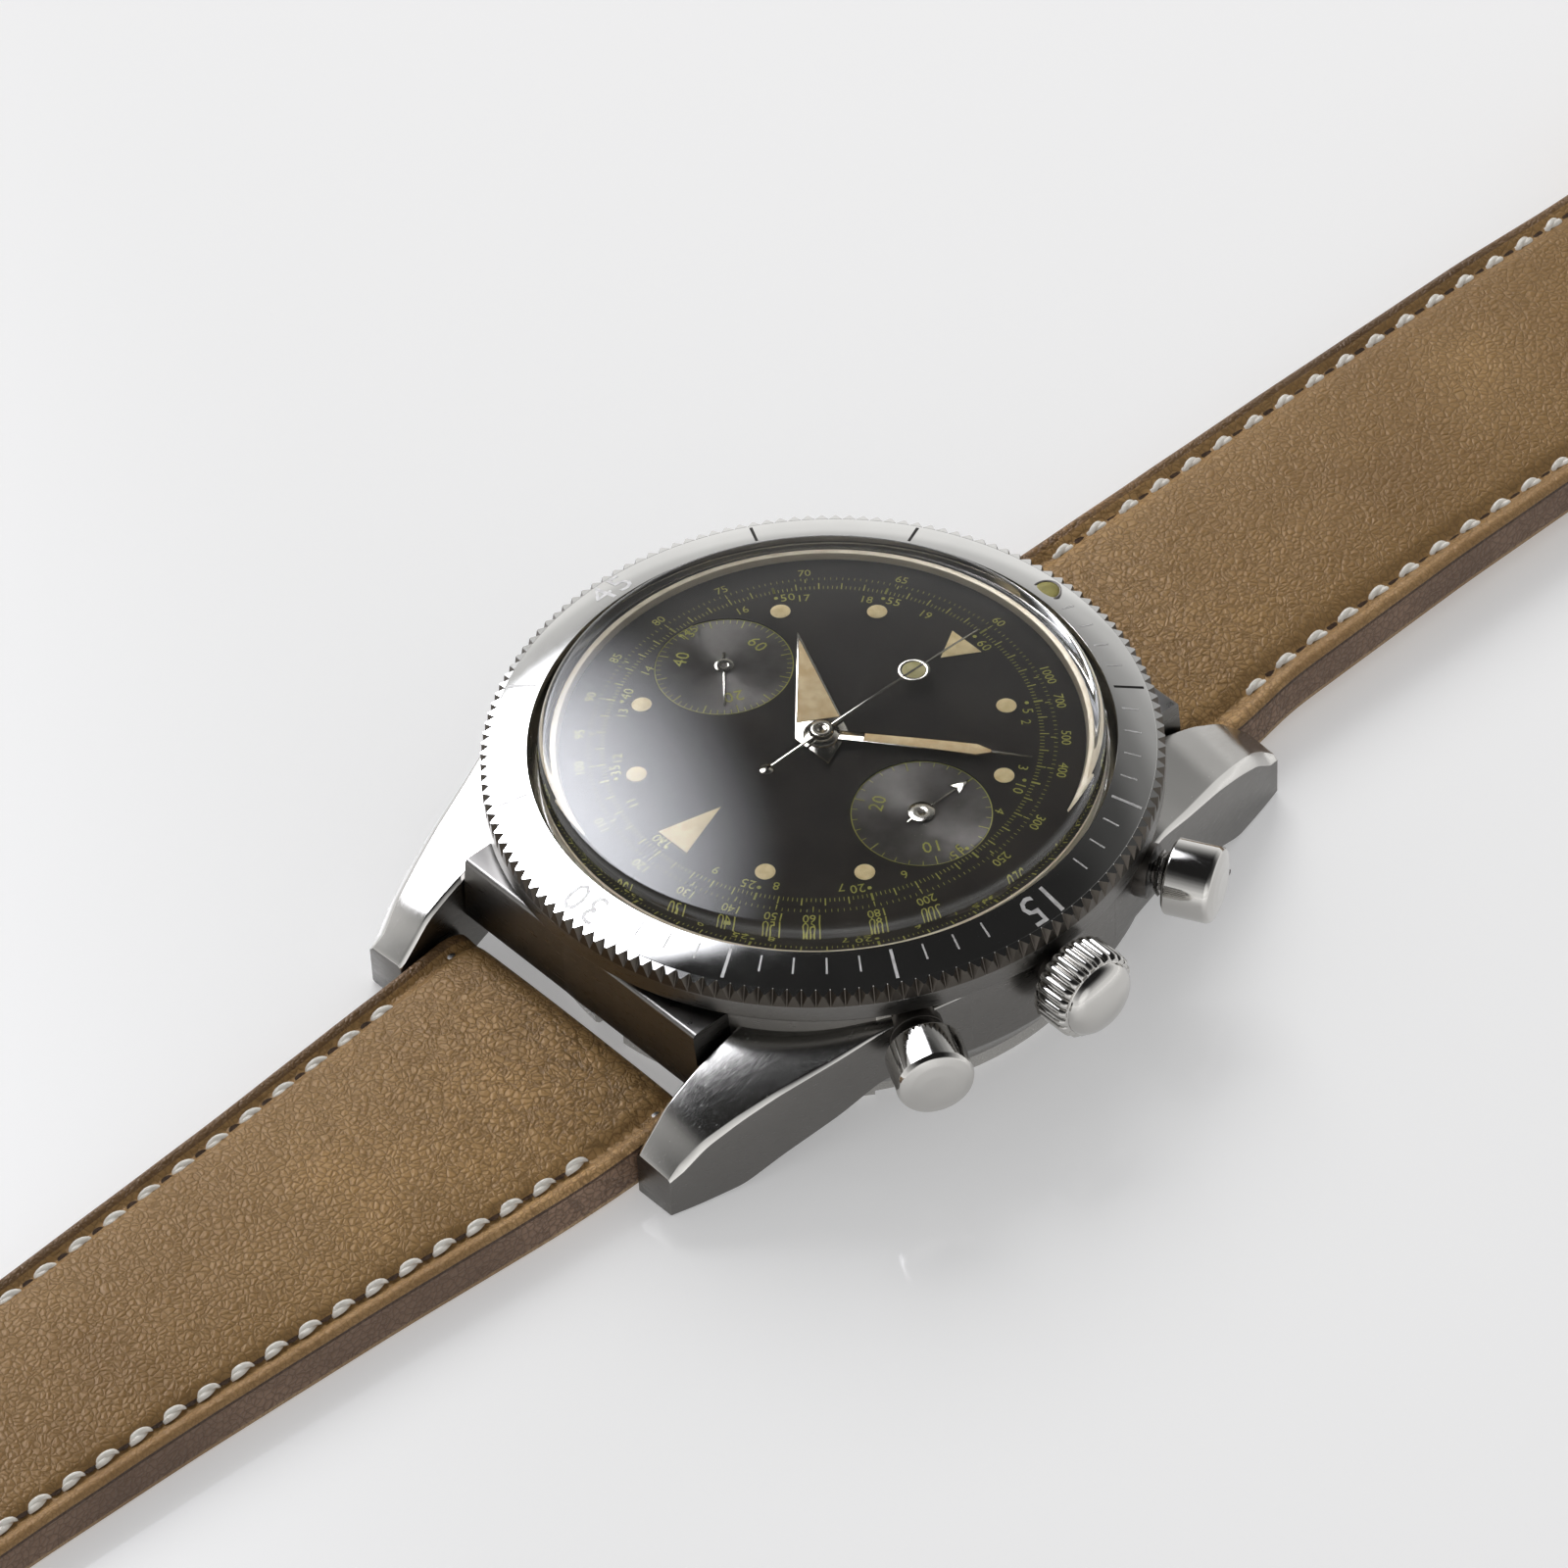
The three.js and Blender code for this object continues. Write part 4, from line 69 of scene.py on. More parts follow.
camera_data = bpy.data.cameras.new("camera")
camera_data.sensor_width = SENSOR
camera_data.lens = FOCAL_PIXELS / FRAME_PIXELS * SENSOR
camera_data.clip_start, camera_data.clip_end = 0.02, 20
camera = bpy.data.objects.new("camera", camera_data)
bpy.context.scene.collection.objects.link(camera)
turn = Matrix((right, up, towards_lens)).transposed().to_4x4()
camera.matrix_world = Matrix.Translation((AIM + towards_lens * LENS_DISTANCE) * MM) @ turn
bpy.context.scene.camera = camera
print("lens", round(camera_data.lens, 1), "mm")

# %% [markdown]
# ## Node trees
# The room and the finishes are node trees. The helpers keep them short: a value that goes into a node is either
# the output of another node or a plain number or colour.

# %% Helpers for node trees
def add_node(tree, kind, **values):
    """Adds a node and sets its properties and the values of its named inputs."""
    node = tree.nodes.new(kind)
    for name, value in values.items():
        if name in node.inputs:
            node.inputs[name].default_value = value
        else:
            setattr(node, name, value)
    return node


def ramp(tree, stops, interpolation="EASE"):
    """A colour ramp from a list of (place, grey or colour)."""
    node = tree.nodes.new("ShaderNodeValToRGB")
    node.color_ramp.interpolation = interpolation
    elements = node.color_ramp.elements
    while len(elements) < len(stops):
        elements.new(0.5)
    for element, (place, colour) in zip(elements, stops):
        element.position = place
        element.color = colour if hasattr(colour, "__len__") else (colour, colour, colour, 1)
    return node


def wire(tree, value, socket):
    """Links an output to an input, or gives the input a plain value."""
    if isinstance(value, bpy.types.NodeSocket):
        tree.links.new(value, socket)
    else:
        socket.default_value = value


def computed(tree, operation, *values, kind="ShaderNodeMath", output=0):
    """The result of a math node on its values, in their order."""
    node = add_node(tree, kind, operation=operation)
    for value, socket in zip(values, node.inputs):
        wire(tree, value, socket)
    return node.outputs[output]


def mixed(tree, share, colour_a, colour_b, blend="MIX"):
    """One colour changing to another by a share between 0 and 1, or blended with it in another way."""
    node = add_node(tree, "ShaderNodeMix", data_type="RGBA", blend_type=blend)
    for value, index in ((share, 0), (colour_a, 6), (colour_b, 7)):
        wire(tree, value, node.inputs[index])
    return node.outputs[2]


def finish(name, **values):
    """A new material, its node tree and its shader. In a name, an underscore stands for a blank."""
    material = bpy.data.materials.new(name)
    material.use_nodes = True
    shader = material.node_tree.nodes["Principled BSDF"]
    for key, value in values.items():
        shader.inputs[key.replace("_", " ")].default_value = value
    return material, material.node_tree, shader


# %% [markdown]
# ## Light
# Polished steel shows the room it stands in, so the room matters as much as the lamps. A soft lamp stands to the
# back left and a wider, weaker one fills from the front. What shiny surfaces see is painted in the world: pale at
# the horizon, dark overhead, with a round soft box to the left. The bezel's white and black sides and the pale
# sheen on the crystal come from it, and so does what the crystal reflects from its inner side. Everything else
# sees an even grey room, so the shadows stay soft.

# %% World
scene = bpy.context.scene
scene.view_settings.view_transform = "Standard"
world = bpy.data.worlds.new("room")
scene.world = world
world.use_nodes = True
room = world.node_tree
room.nodes.clear()

direction = add_node(room, "ShaderNodeTexCoord")
height_of = add_node(room, "ShaderNodeSeparateXYZ")
height_ramp = ramp(room, [(0.0, 1.05), (0.2, 0.96), (0.33, 0.68), (0.52, 0.40), (0.64, 0.20), (0.74, 0.07),
                          (0.86, 0.02), (1.0, 0.02)])
wire(room, direction.outputs["Generated"], height_of.inputs[0])
wire(room, height_of.outputs["Z"], height_ramp.inputs[0])


def soft_box(towards, start, full, colour):
    """A round patch of light in the room, seen by shiny surfaces: how bright it is in each direction."""
    facing = computed(room, "DOT_PRODUCT", direction.outputs["Generated"], Vector(towards).normalized(),
                      kind="ShaderNodeVectorMath", output="Value")
    edge = add_node(room, "ShaderNodeMapRange", interpolation_type="SMOOTHSTEP",
                    **{"From Min": start, "From Max": full})
    wire(room, facing, edge.inputs["Value"])
    return mixed(room, edge.outputs["Result"], (0, 0, 0, 1), colour)


shine = height_ramp.outputs[0]
for box_of_light in (soft_box((-0.72, -0.02, 0.69), 0.885, 0.975, (11, 11.2, 12, 1)),
                     soft_box((0.75, -0.55, 0.36), 0.90, 0.99, (0.5, 0.5, 0.5, 1))):
    shine = mixed(room, 1.0, shine, box_of_light, "ADD")
light_kind = add_node(room, "ShaderNodeLightPath")
polished_view = add_node(room, "ShaderNodeBackground", Strength=1.0)
plain_view = add_node(room, "ShaderNodeBackground", Color=(0.40, 0.40, 0.40, 1), Strength=1.0)
by_ray = add_node(room, "ShaderNodeMixShader")
room_out = add_node(room, "ShaderNodeOutputWorld")
through_or_off = computed(
    room, "MAXIMUM", light_kind.outputs["Is Glossy Ray"], light_kind.outputs["Is Transmission Ray"])
wire(room, shine, polished_view.inputs["Color"])
for value, socket in zip((through_or_off, plain_view.outputs[0], polished_view.outputs[0]), by_ray.inputs):
    wire(room, value, socket)
wire(room, by_ray.outputs[0], room_out.inputs[0])


# %% Lamps
def soft_lamp(name, towards, distance, size, power, colour=(1, 1, 1)):
    """A rectangular lamp at a direction from the watch, facing it. Sizes in metres."""
    data = bpy.data.lights.new(name, "AREA")
    data.shape = "RECTANGLE"
    data.size, data.size_y = size
    data.energy, data.color = power, colour
    lamp = bpy.data.objects.new(name, data)
    scene.collection.objects.link(lamp)
    away = Vector(towards).normalized()
    lamp.matrix_world = Matrix.Translation(away * distance) @ away.to_track_quat("Z", "Y").to_matrix().to_4x4()
    lamp.visible_glossy = lamp.visible_transmission = False


soft_lamp("lamp_back_left", (-0.64, 0.42, 0.62), 1.0, (0.6, 0.6), 4.7, (1, 0.995, 0.985))
soft_lamp("lamp_front_right", (0.55, -0.75, 0.60), 1.6, (1.2, 1.2), 1.4)

# %% [markdown]
# ## Table
# A white glossy table with a faint mirror image. It glows a little itself, like a sheet that is lit from below,
# so the shadows on it stay pale.

# %% Table
bpy.ops.mesh.primitive_plane_add(size=6, location=(0, 0, 0))
table = bpy.context.object
table.name = "table"
table.data.materials.append(finish("white_gloss_table", Base_Color=(0.80, 0.80, 0.81, 1), Roughness=0.07,
                                   Specular_IOR_Level=0.35, Emission_Color=(1, 1, 1, 1), Emission_Strength=0.28)[0])


# %% [markdown]
# ## Finishes
# Each finish is a node material on Object coordinates, so its grain stays the same size everywhere.
# The helpers below add what the finishes share: noise, a relief, and a tone between two colours.

# %% Helpers for materials
def srgb(red, green, blue):
    """A colour as it is read from a screen, 0 to 255, in Blender's linear numbers."""
    return tuple(((v / 255 + 0.055) / 1.055) ** 2.4 if v > 10 else v / 255 / 12.92 for v in (red, green, blue)) + (1,)


def grain(tree, scale, detail=3, stretch=(1, 1, 1)):
    """Noise on Object coordinates. The scale counts repeats to the metre."""
    place = add_node(tree, "ShaderNodeTexCoord")
    mapping = add_node(tree, "ShaderNodeMapping")
    mapping.inputs["Scale"].default_value = stretch
    texture = add_node(tree, "ShaderNodeTexNoise", Scale=scale, Detail=detail)
    wire(tree, place.outputs["Object"], mapping.inputs["Vector"])
    wire(tree, mapping.outputs[0], texture.inputs["Vector"])
    return texture


def bump(tree, shader, height, strength, distance):
    """Lets a height lift and lower the shader's surface, in metres."""
    node = add_node(tree, "ShaderNodeBump", Strength=strength, Distance=distance)
    wire(tree, height, node.inputs["Height"])
    wire(tree, node.outputs[0], shader.inputs["Normal"])


def toned(tree, shader, texture, dark, light):
    """Colours a surface between two tones by a texture."""
    tone = ramp(tree, [(0.3, dark), (0.7, light)], "LINEAR")
    wire(tree, texture.outputs[0], tone.inputs[0])
    wire(tree, tone.outputs[0], shader.inputs["Base Color"])


def scaled(colour, factor):
    """The colour made darker or lighter by a factor."""
    return tuple(v * factor for v in colour[:3]) + (1,)


# %% [markdown]
# ### Steel
# Old steel is never one mirror. The brushed faces carry fine lines along one direction, the polished ones a
# haze of hairline scratches. Both come from noise that is stretched along one axis.

# %% Steel finishes
def steel_finish(name, colour, rough_low, rough_high, stretch, depth, scale=900):
    """A metal whose shine changes along fine lines. The stretch gives their direction, the depth their relief."""
    material, tree, shader = finish(name, Metallic=1.0)
    lines = grain(tree, scale, 4, stretch)
    cloud = grain(tree, 160, 3)
    rough = ramp(tree, [(0.25, rough_low), (0.75, rough_high)], "LINEAR")
    shade = ramp(tree, [(0.2, scaled(colour, 0.86)), (0.8, colour)], "LINEAR")
    wire(tree, cloud.outputs[0], shade.inputs[0])
    wire(tree, lines.outputs[0], rough.inputs[0])
    wire(tree, shade.outputs[0], shader.inputs["Base Color"])
    wire(tree, rough.outputs[0], shader.inputs["Roughness"])
    bump(tree, shader, lines.outputs[0], depth, 0.00002)
    return material


polished = steel_finish("polished_steel", srgb(204, 202, 198), 0.05, 0.13, (1, 6, 3), 0.05)
satin = steel_finish("satin_steel", srgb(192, 190, 187), 0.20, 0.34, (1, 12, 12), 0.25)
# A darker copy of the satin steel, painted shade: it goes on the case flank, the lug sides, the bezel's side and the
# bars, which lie in the watch's own shadow and mirror the darker table near it.
satin_steel_painted_shade = steel_finish("satin_steel_flank_painted_shade", srgb(122, 120, 117), 0.24, 0.38, (1, 1, 14), 0.15)
dark_steel = steel_finish("dark_steel", srgb(96, 92, 88), 0.3, 0.5, (1, 4, 4), 0.2)
gilt = steel_finish("gilt_brass", srgb(196, 168, 104), 0.16, 0.3, (1, 8, 1), 0.15)
nickel = steel_finish("frosted_nickel", srgb(176, 172, 164), 0.34, 0.5, (1, 1, 1), 0.3, 2600)
hand_steel = steel_finish("hand_steel", srgb(206, 202, 192), 0.05, 0.10, (1, 5, 5), 0.05)
engraved, engraved_tree, engraved_shader = finish("engraved_steel", Metallic=0.4, Roughness=0.6)
toned(engraved_tree, engraved_shader, grain(engraved_tree, 3000), srgb(176, 174, 172), srgb(206, 205, 203))
tick_paint = steel_finish("tick_paint", srgb(46, 44, 42), 0.4, 0.6, (1, 1, 1), 0.2)

# %% [markdown]
# ### Leather
# The pad is pebbled calf. Cells pushed out of shape by noise give the pebbles, and the distance to a cell's edge
# gives the creases between them, painted darker as shade. Near the case the leather is bent most, so it is paler
# and more wrinkled there. The same fields drive the bump and the shine.

# %% Leather finishes
WORN_START, WORN_END = 0.022, 0.042


def leather_finish(name, light, middle, dark, pebble=2400, relief=0.42, shine=(0.44, 0.6)):
    """Leather of three tones. The pebble counts cells to the metre, and the shine is the least and most rough."""
    material, tree, shader = finish(name, Specular_IOR_Level=0.3)
    place = add_node(tree, "ShaderNodeTexCoord").outputs["Object"]
    drift = add_node(tree, "ShaderNodeTexNoise", Scale=620, Detail=2)
    wire(tree, place, drift.inputs["Vector"])
    pushed = computed(tree, "MULTIPLY_ADD", drift.outputs["Color"], (0.0007, 0.0007, 0.0007), place,
                      kind="ShaderNodeVectorMath")

    def pebbles(scale):
        cells = add_node(tree, "ShaderNodeTexVoronoi", feature="DISTANCE_TO_EDGE", Scale=scale)
        wire(tree, pushed, cells.inputs["Vector"])
        height = ramp(tree, [(0.0, 0.2), (0.12, 0.66), (0.36, 1.0)], "EASE")
        wire(tree, cells.outputs["Distance"], height.inputs[0])
        return height.outputs[0]

    def added(one, other, share):
        return computed(tree, "MULTIPLY_ADD", other, share, one)

    small, large = pebbles(pebble), pebbles(pebble * 0.45)
    patches, specks = grain(tree, 90), grain(tree, 5200)
    folds = add_node(tree, "ShaderNodeTexNoise", Scale=760, Detail=4)
    wire(tree, pushed, folds.inputs["Vector"])
    fold_line = ramp(tree, [(0.455, 1.0), (0.495, 0.0), (0.505, 0.0), (0.545, 1.0)], "EASE")
    wire(tree, folds.outputs[0], fold_line.inputs[0])
    sides = add_node(tree, "ShaderNodeSeparateXYZ")
    wire(tree, place, sides.inputs[0])
    worn_node = add_node(tree, "ShaderNodeMapRange", **{"From Min": WORN_END, "From Max": WORN_START, "To Min": 0.15})
    wire(tree, computed(tree, "ABSOLUTE", sides.outputs["Y"]), worn_node.inputs["Value"])
    worn = worn_node.outputs["Result"]
    fold_depth = computed(tree, "MULTIPLY", fold_line.outputs[0], worn)
    height = added(added(added(small, large, 0.5), specks.outputs[0], 0.5), fold_depth, 0.8)
    tone = ramp(tree, [(0.3, dark), (0.5, middle), (0.7, light), (1.0, scaled(light, 1.5))], "LINEAR")
    wire(tree, added(patches.outputs[0], worn, 0.3), tone.inputs[0])
    # The creases between the pebbles are painted darker, as shade.
    crease = ramp(tree, [(0.2, 0.25), (0.6, 0.8), (0.9, 1.0)], "LINEAR")
    wire(tree, small, crease.inputs[0])
    crease_shaded = mixed(tree, crease.outputs[0], scaled(middle, 0.66), tone.outputs[0])
    wrinkled = mixed(tree, computed(tree, "SUBTRACT", worn, fold_depth), crease_shaded, scaled(middle, 0.8))
    wire(tree, wrinkled, shader.inputs["Base Color"])
    rough = ramp(tree, [(0.2, shine[1]), (0.9, shine[0])], "LINEAR")
    wire(tree, crease.outputs[0], rough.inputs[0])
    wire(tree, rough.outputs[0], shader.inputs["Roughness"])
    bump(tree, shader, height, relief, 0.00013)
    return material


calf = leather_finish("tan_calf", srgb(152, 120, 76), srgb(138, 107, 65), srgb(120, 91, 54))
# The rim is one tan leather in two copies: on the side nearer the lens it is painted lighter as light, on the far side
# it is painted darker as shade.
rim_painted_lit = leather_finish("tan_rim_painted_lit", srgb(172, 138, 94), srgb(154, 120, 78), srgb(130, 98, 60), 3200, 0.35)
rim_painted_shade = leather_finish("tan_rim_painted_shade", srgb(116, 88, 56), srgb(98, 73, 45), srgb(80, 58, 36), 3200, 0.4)
lining = leather_finish("lining_leather", srgb(172, 146, 112), srgb(156, 128, 94), srgb(140, 112, 80), 3600, 0.2)
painted_edge = leather_finish("painted_edge", srgb(134, 108, 88), srgb(116, 92, 74), srgb(90, 70, 56), 2200, 0.5)
edge_line = leather_finish("dark_edge_line", srgb(84, 64, 50), srgb(70, 52, 40), srgb(52, 38, 30), 2600, 0.4)
# A near-black leather for the flat discs that stand for the awl holes and the pusher's pin hole: painted shade in the
# holes.
hole_shade = leather_finish("stitch_hole_shade", srgb(58, 40, 25), srgb(46, 31, 19), srgb(34, 23, 14), 2600, 0.2, (0.8, 0.9))

thread, thread_tree, thread_shader = finish("linen_thread", Roughness=0.6)
fibres = grain(thread_tree, 6000, 2, (1, 0.3, 1))
toned(thread_tree, thread_shader, fibres, srgb(222, 216, 206), srgb(248, 245, 238))
bump(thread_tree, thread_shader, fibres.outputs[0], 0.4, 0.00004)

# %% [markdown]
# ### Dial, print and luminous paste
# The dial is aged black lacquer: a warm dark grey with faint clouds. The print has gone olive, and the paste
# has turned to cream with darker specks.

# %% Dial finishes
def speckled(name, light, dark, scale, roughness, relief=0.2):
    """Paint, paste or rubber: two close tones in spots that also stand up a little."""
    material, tree, shader = finish(name, Roughness=roughness)
    spots = grain(tree, scale, 5)
    toned(tree, shader, spots, dark, light)
    bump(tree, shader, spots.outputs[0], relief, 0.00003)
    return material


lacquer = speckled("black_dial", srgb(54, 51, 47), srgb(44, 42, 39), 300, 0.6, 0.0)
lacquer.node_tree.nodes["Principled BSDF"].inputs["Specular IOR Level"].default_value = 0.25
olive_print = speckled("olive_print", srgb(178, 176, 88), srgb(146, 146, 68), 1500, 0.6, 0.05)
cream_paste = speckled("cream_paste", srgb(240, 222, 176), srgb(214, 192, 140), 1600, 0.75, 0.4)
hand_paste = speckled("hand_paste", srgb(246, 226, 184), srgb(222, 192, 142), 1300, 0.7, 0.4)
pip_paste = speckled("pip_paste", srgb(206, 198, 150), srgb(170, 160, 108), 1300, 0.55, 0.4)
old_pip = speckled("old_pip", srgb(160, 152, 88), srgb(122, 114, 60), 1300, 0.55, 0.4)
black_rubber = speckled("black_rubber", srgb(40, 40, 40), srgb(26, 26, 26), 2000, 0.7)

# %% [markdown]
# ## Shaping
# Almost every metal piece of a watch is turned on a lathe or milled from plate, and the helpers follow that:
# `turned` spins a profile with eased corners, and `plate` thickens an outline and bevels its edges.

# %% Helpers for shapes
def on_its_own(thing):
    """Makes one object the only selected and active one, which is what the operators act on."""
    bpy.ops.object.select_all(action="DESELECT")
    thing.select_set(True)
    bpy.context.view_layer.objects.active = thing


def mesh_piece(name, points, faces, materials=(), places=None):
    """A new object from points in millimetres and faces. The places give each face its material."""
    mesh = bpy.data.meshes.new(name)
    mesh.from_pydata([tuple(float(v) * MM for v in point) for point in points], [], faces)
    for material in materials:
        mesh.materials.append(material)
    if places is not None:
        mesh.polygons.foreach_set("material_index", places)
    piece = bpy.data.objects.new(name, mesh)
    scene.collection.objects.link(piece)
    return piece


def tidy_mesh(piece, merge=0.0005):
    """Merges the points that coincide and turns the faces outwards."""
    on_its_own(piece)
    bpy.ops.object.mode_set(mode="EDIT")
    bpy.ops.mesh.select_all(action="SELECT")
    bpy.ops.mesh.remove_doubles(threshold=merge * MM)
    bpy.ops.mesh.normals_make_consistent(inside=False)
    bpy.ops.object.mode_set(mode="OBJECT")
    return piece


def beveled(piece, width, segments=3, angle=30):
    """Eases the edges that are sharper than an angle in degrees."""
    on_its_own(piece)
    modifier = piece.modifiers.new("bevel", "BEVEL")
    modifier.width, modifier.segments, modifier.limit_method = width * MM, segments, "ANGLE"
    modifier.angle_limit = math.radians(angle)
    bpy.ops.object.modifier_apply(modifier="bevel")
    return piece


def cut_away(piece, cutter):
    """Subtracts the cutter from the piece and deletes it."""
    on_its_own(piece)
    modifier = piece.modifiers.new("cut", "BOOLEAN")
    modifier.operation, modifier.object, modifier.solver = "DIFFERENCE", cutter, "EXACT"
    bpy.ops.object.modifier_apply(modifier="cut")
    bpy.data.objects.remove(cutter)
    return piece


def placed(piece, matrix):
    """Moves the points of a piece, so that its object stays at the origin."""
    piece.data.transform(matrix)
    if matrix.determinant() < 0:
        piece.data.flip_normals()
    return piece


def joined(name, pieces):
    """Makes one piece of several."""
    bpy.ops.object.select_all(action="DESELECT")
    for piece in pieces:
        piece.select_set(True)
    bpy.context.view_layer.objects.active = pieces[0]
    bpy.ops.object.join()
    pieces[0].name = name
    return pieces[0]


def on_watch(piece, body, nodes=(), smooth=32):
    """Smooths a finished piece, gives it its body, and hides the solids that it stands for."""
    on_its_own(piece)
    bpy.ops.object.shade_smooth_by_angle(angle=math.radians(smooth))
    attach(piece, body)
    if nodes:
        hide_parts(*([nodes] if isinstance(nodes, str) else nodes))
    return piece


def shift(x=0, y=0, z=0):
    """A move in millimetres."""
    return Matrix.Translation((x * MM, y * MM, z * MM))


def clock(degrees):
    """A turn clockwise round the dial, as seen from above."""
    return Matrix.Rotation(-math.radians(degrees), 4, "Z")


def eased(points, size, steps=3, closed=False):
    """A profile with its corners rounded by short arcs."""
    count, rounded = len(points), []
    for i, point in enumerate(points):
        if not closed and i in (0, count - 1):
            rounded.append(tuple(point))
            continue
        here = np.array(point, float)
        before, after = np.array(points[i - 1], float), np.array(points[(i + 1) % count], float)
        to_before, to_after = before - here, after - here
        reach = min(size, 0.42 * np.linalg.norm(to_before), 0.42 * np.linalg.norm(to_after))
        start = here + to_before / np.linalg.norm(to_before) * reach
        end = here + to_after / np.linalg.norm(to_after) * reach
        for k in range(steps + 1):
            t = k / steps
            rounded.append(tuple((1 - t) ** 2 * start + 2 * t * (1 - t) * here + t ** 2 * end))
    return rounded


def turned(name, profile, materials, bands=None, steps=160, ease=0.06, closed=True):
    """Spins a profile of (radius, height) pairs round Z. A band is (lowest radius, highest radius, lowest
    height, highest height, material number), and the faces whose middle lies in it take that material."""
    points = eased(profile, ease, closed=closed) if ease else profile
    mesh = bpy.data.meshes.new(name)
    edges = [(i, i + 1) for i in range(len(points) - 1)] + ([(len(points) - 1, 0)] if closed else [])
    mesh.from_pydata([(r * MM, 0, z * MM) for r, z in points], edges, [])
    piece = bpy.data.objects.new(name, mesh)
    scene.collection.objects.link(piece)
    on_its_own(piece)
    bpy.ops.object.mode_set(mode="EDIT")
    bpy.ops.mesh.select_all(action="SELECT")
    bpy.ops.mesh.spin(steps=steps, angle=2 * math.pi, center=(0, 0, 0), axis=(0, 0, 1))
    bpy.ops.object.mode_set(mode="OBJECT")
    tidy_mesh(piece)
    for material in materials:
        piece.data.materials.append(material)
    for face in piece.data.polygons if bands else ():
        radius, height = math.hypot(face.center.x, face.center.y) / MM, face.center.z / MM
        for low, high, bottom, top, index in bands:
            if low <= radius <= high and bottom <= height <= top:
                face.material_index = index
    return piece


def plate(name, outline, bottom, top, materials, bevel=0.03, segments=2):
    """A flat piece: an outline of (x, y) pairs, thickened from bottom to top, with eased edges."""
    count = len(outline)
    area = sum(outline[i - 1][0] * outline[i][1] - outline[i][0] * outline[i - 1][1] for i in range(count))
    corners = list(outline) if area > 0 else list(outline)[::-1]
    points = [(x, y, bottom) for x, y in corners] + [(x, y, top) for x, y in corners]
    faces = [tuple(range(count))[::-1], tuple(range(count, 2 * count))]
    faces += [(i, (i + 1) % count, count + (i + 1) % count, count + i) for i in range(count)]
    piece = mesh_piece(name, points, faces, materials)
    return beveled(piece, bevel, segments) if bevel else piece


def drum(name, radius, bottom, top, materials, bevel=0.05, steps=64, place=(0, 0)):
    """A short round piece standing on the plane, such as a hub or a dot."""
    bpy.ops.mesh.primitive_cylinder_add(
        vertices=steps, radius=radius * MM, depth=(top - bottom) * MM,
        location=(place[0] * MM, place[1] * MM, (bottom + top) / 2 * MM))
    piece = bpy.context.object
    piece.name = name
    bpy.ops.object.transform_apply(location=True, rotation=False, scale=False)
    for material in materials:
        piece.data.materials.append(material)
    return beveled(piece, bevel, 2) if bevel else piece


def circle(radius, steps=64, place=(0, 0)):
    """The corners of a regular outline."""
    angles = np.radians(np.linspace(0, 360, steps, endpoint=False))
    return [(place[0] + radius * math.cos(a), place[1] + radius * math.sin(a)) for a in angles]


def box(size, place):
    """A plain block, used to cut a notch or a slot."""
    bpy.ops.mesh.primitive_cube_add(size=1, location=[v * MM for v in place])
    block = bpy.context.object
    block.dimensions = [v * MM for v in size]
    bpy.ops.object.transform_apply(location=True, rotation=False, scale=True)
    return block


def tube_faces(rows, count):
    """The faces of a skin over rings of points, each ring closed on itself."""
    faces = []
    for row in range(rows):
        for k in range(count):
            a, b = row * count + k, row * count + (k + 1) % count
            faces.append((a, b, b + count, a + count))
    return faces


def cap_faces(total, count):
    """The two faces that close such a skin at its first and its last ring."""
    return [tuple(range(count))[::-1], tuple(range(total - count, total))]


def on_edge(side=1):
    """Stands a plate on its edge: its outline then lies in Y and Z, and its thickness runs along X."""
    return Matrix(((0, 0, 1, 0), (side, 0, 0, 0), (0, 1, 0, 0), (0, 0, 0, 1)))


# %% [markdown]
# ## Middle case
# A steel drum, turned, with four lugs milled on it. The lug tops fall in a curve to their tips; their outer
# edges carry a polished bevel that widens along the lug. The drum and lugs are separate shapes that meet,
# because that meeting line is a sharp one on the real case as well.

# %% Drum of the case with the flats round the pushers
STEM_Z, PUSHER_TURN = 7.3, 27.6
SHELF_Z, FLANK = 8.6, 18.9
ON_STEM = shift(0, 0, STEM_Z) @ Matrix.Rotation(math.pi / 2, 4, "Y")


def at_pusher(side):
    """From a piece standing on its end to the place of a pusher: side 1 starts, side -1 resets."""
    return Matrix.Rotation(math.radians(side * PUSHER_TURN), 4, "Z") @ ON_STEM


# The flank of the drum takes the darker satin steel, which is painted shade.
case_drum = turned("case_drum", [
    (15.7, 1.4), (17.2, 1.4), (18.9, 4), (18.9, 8.6), (17, 8.6), (17, 10.85), (16.35, 10.85), (16.35, 9.86),
    (15.7, 9.86)], [satin_steel_painted_shade, polished], [(16.9, 18.7, 8.4, 8.7, 1), (15.6, 17.02, 8.7, 11, 1)], 256, 0.12)
for side in (1, -1):
    face = drum("flat_tool", 2.6, 18.78, 21, [polished], 0, 96)
    placed(face, at_pusher(side))
    cut_away(case_drum, face)
on_watch(case_drum, "case", "mid_case")

# %% Lugs
LUG_SHARES = np.array([
    (0.23, 1, 0.535, 0.035, 0), (0.466, 0.953, 0.488, 0.035, 0.02), (0.571, 0.866, 0.326, 0.058, 0.07),
    (0.718, 0.767, 0.163, 0.081, 0.1), (0.815, 0.674, 0.035, 0.122, 0.1), (0.908, 0.558, 0.012, 0.122, 0.075),
    (0.945, 0.465, 0.006, 0.105, 0.05), (0.983, 0.384, 0.006, 0.058, 0.03), (1, 0.343, 0.006, 0.035, 0.02)])
LUG_REACH, LUG_TURN, LUG_INNER = 23.8, math.radians(16.05), 10.04


def smoothed(values, passes=6):
    """Rounds the corners of a table that was read between its rows, and leaves its two ends."""
    for _ in range(passes):
        values[1:-1] = 0.25 * values[:-2] + 0.5 * values[1:-1] + 0.25 * values[2:]
    return values


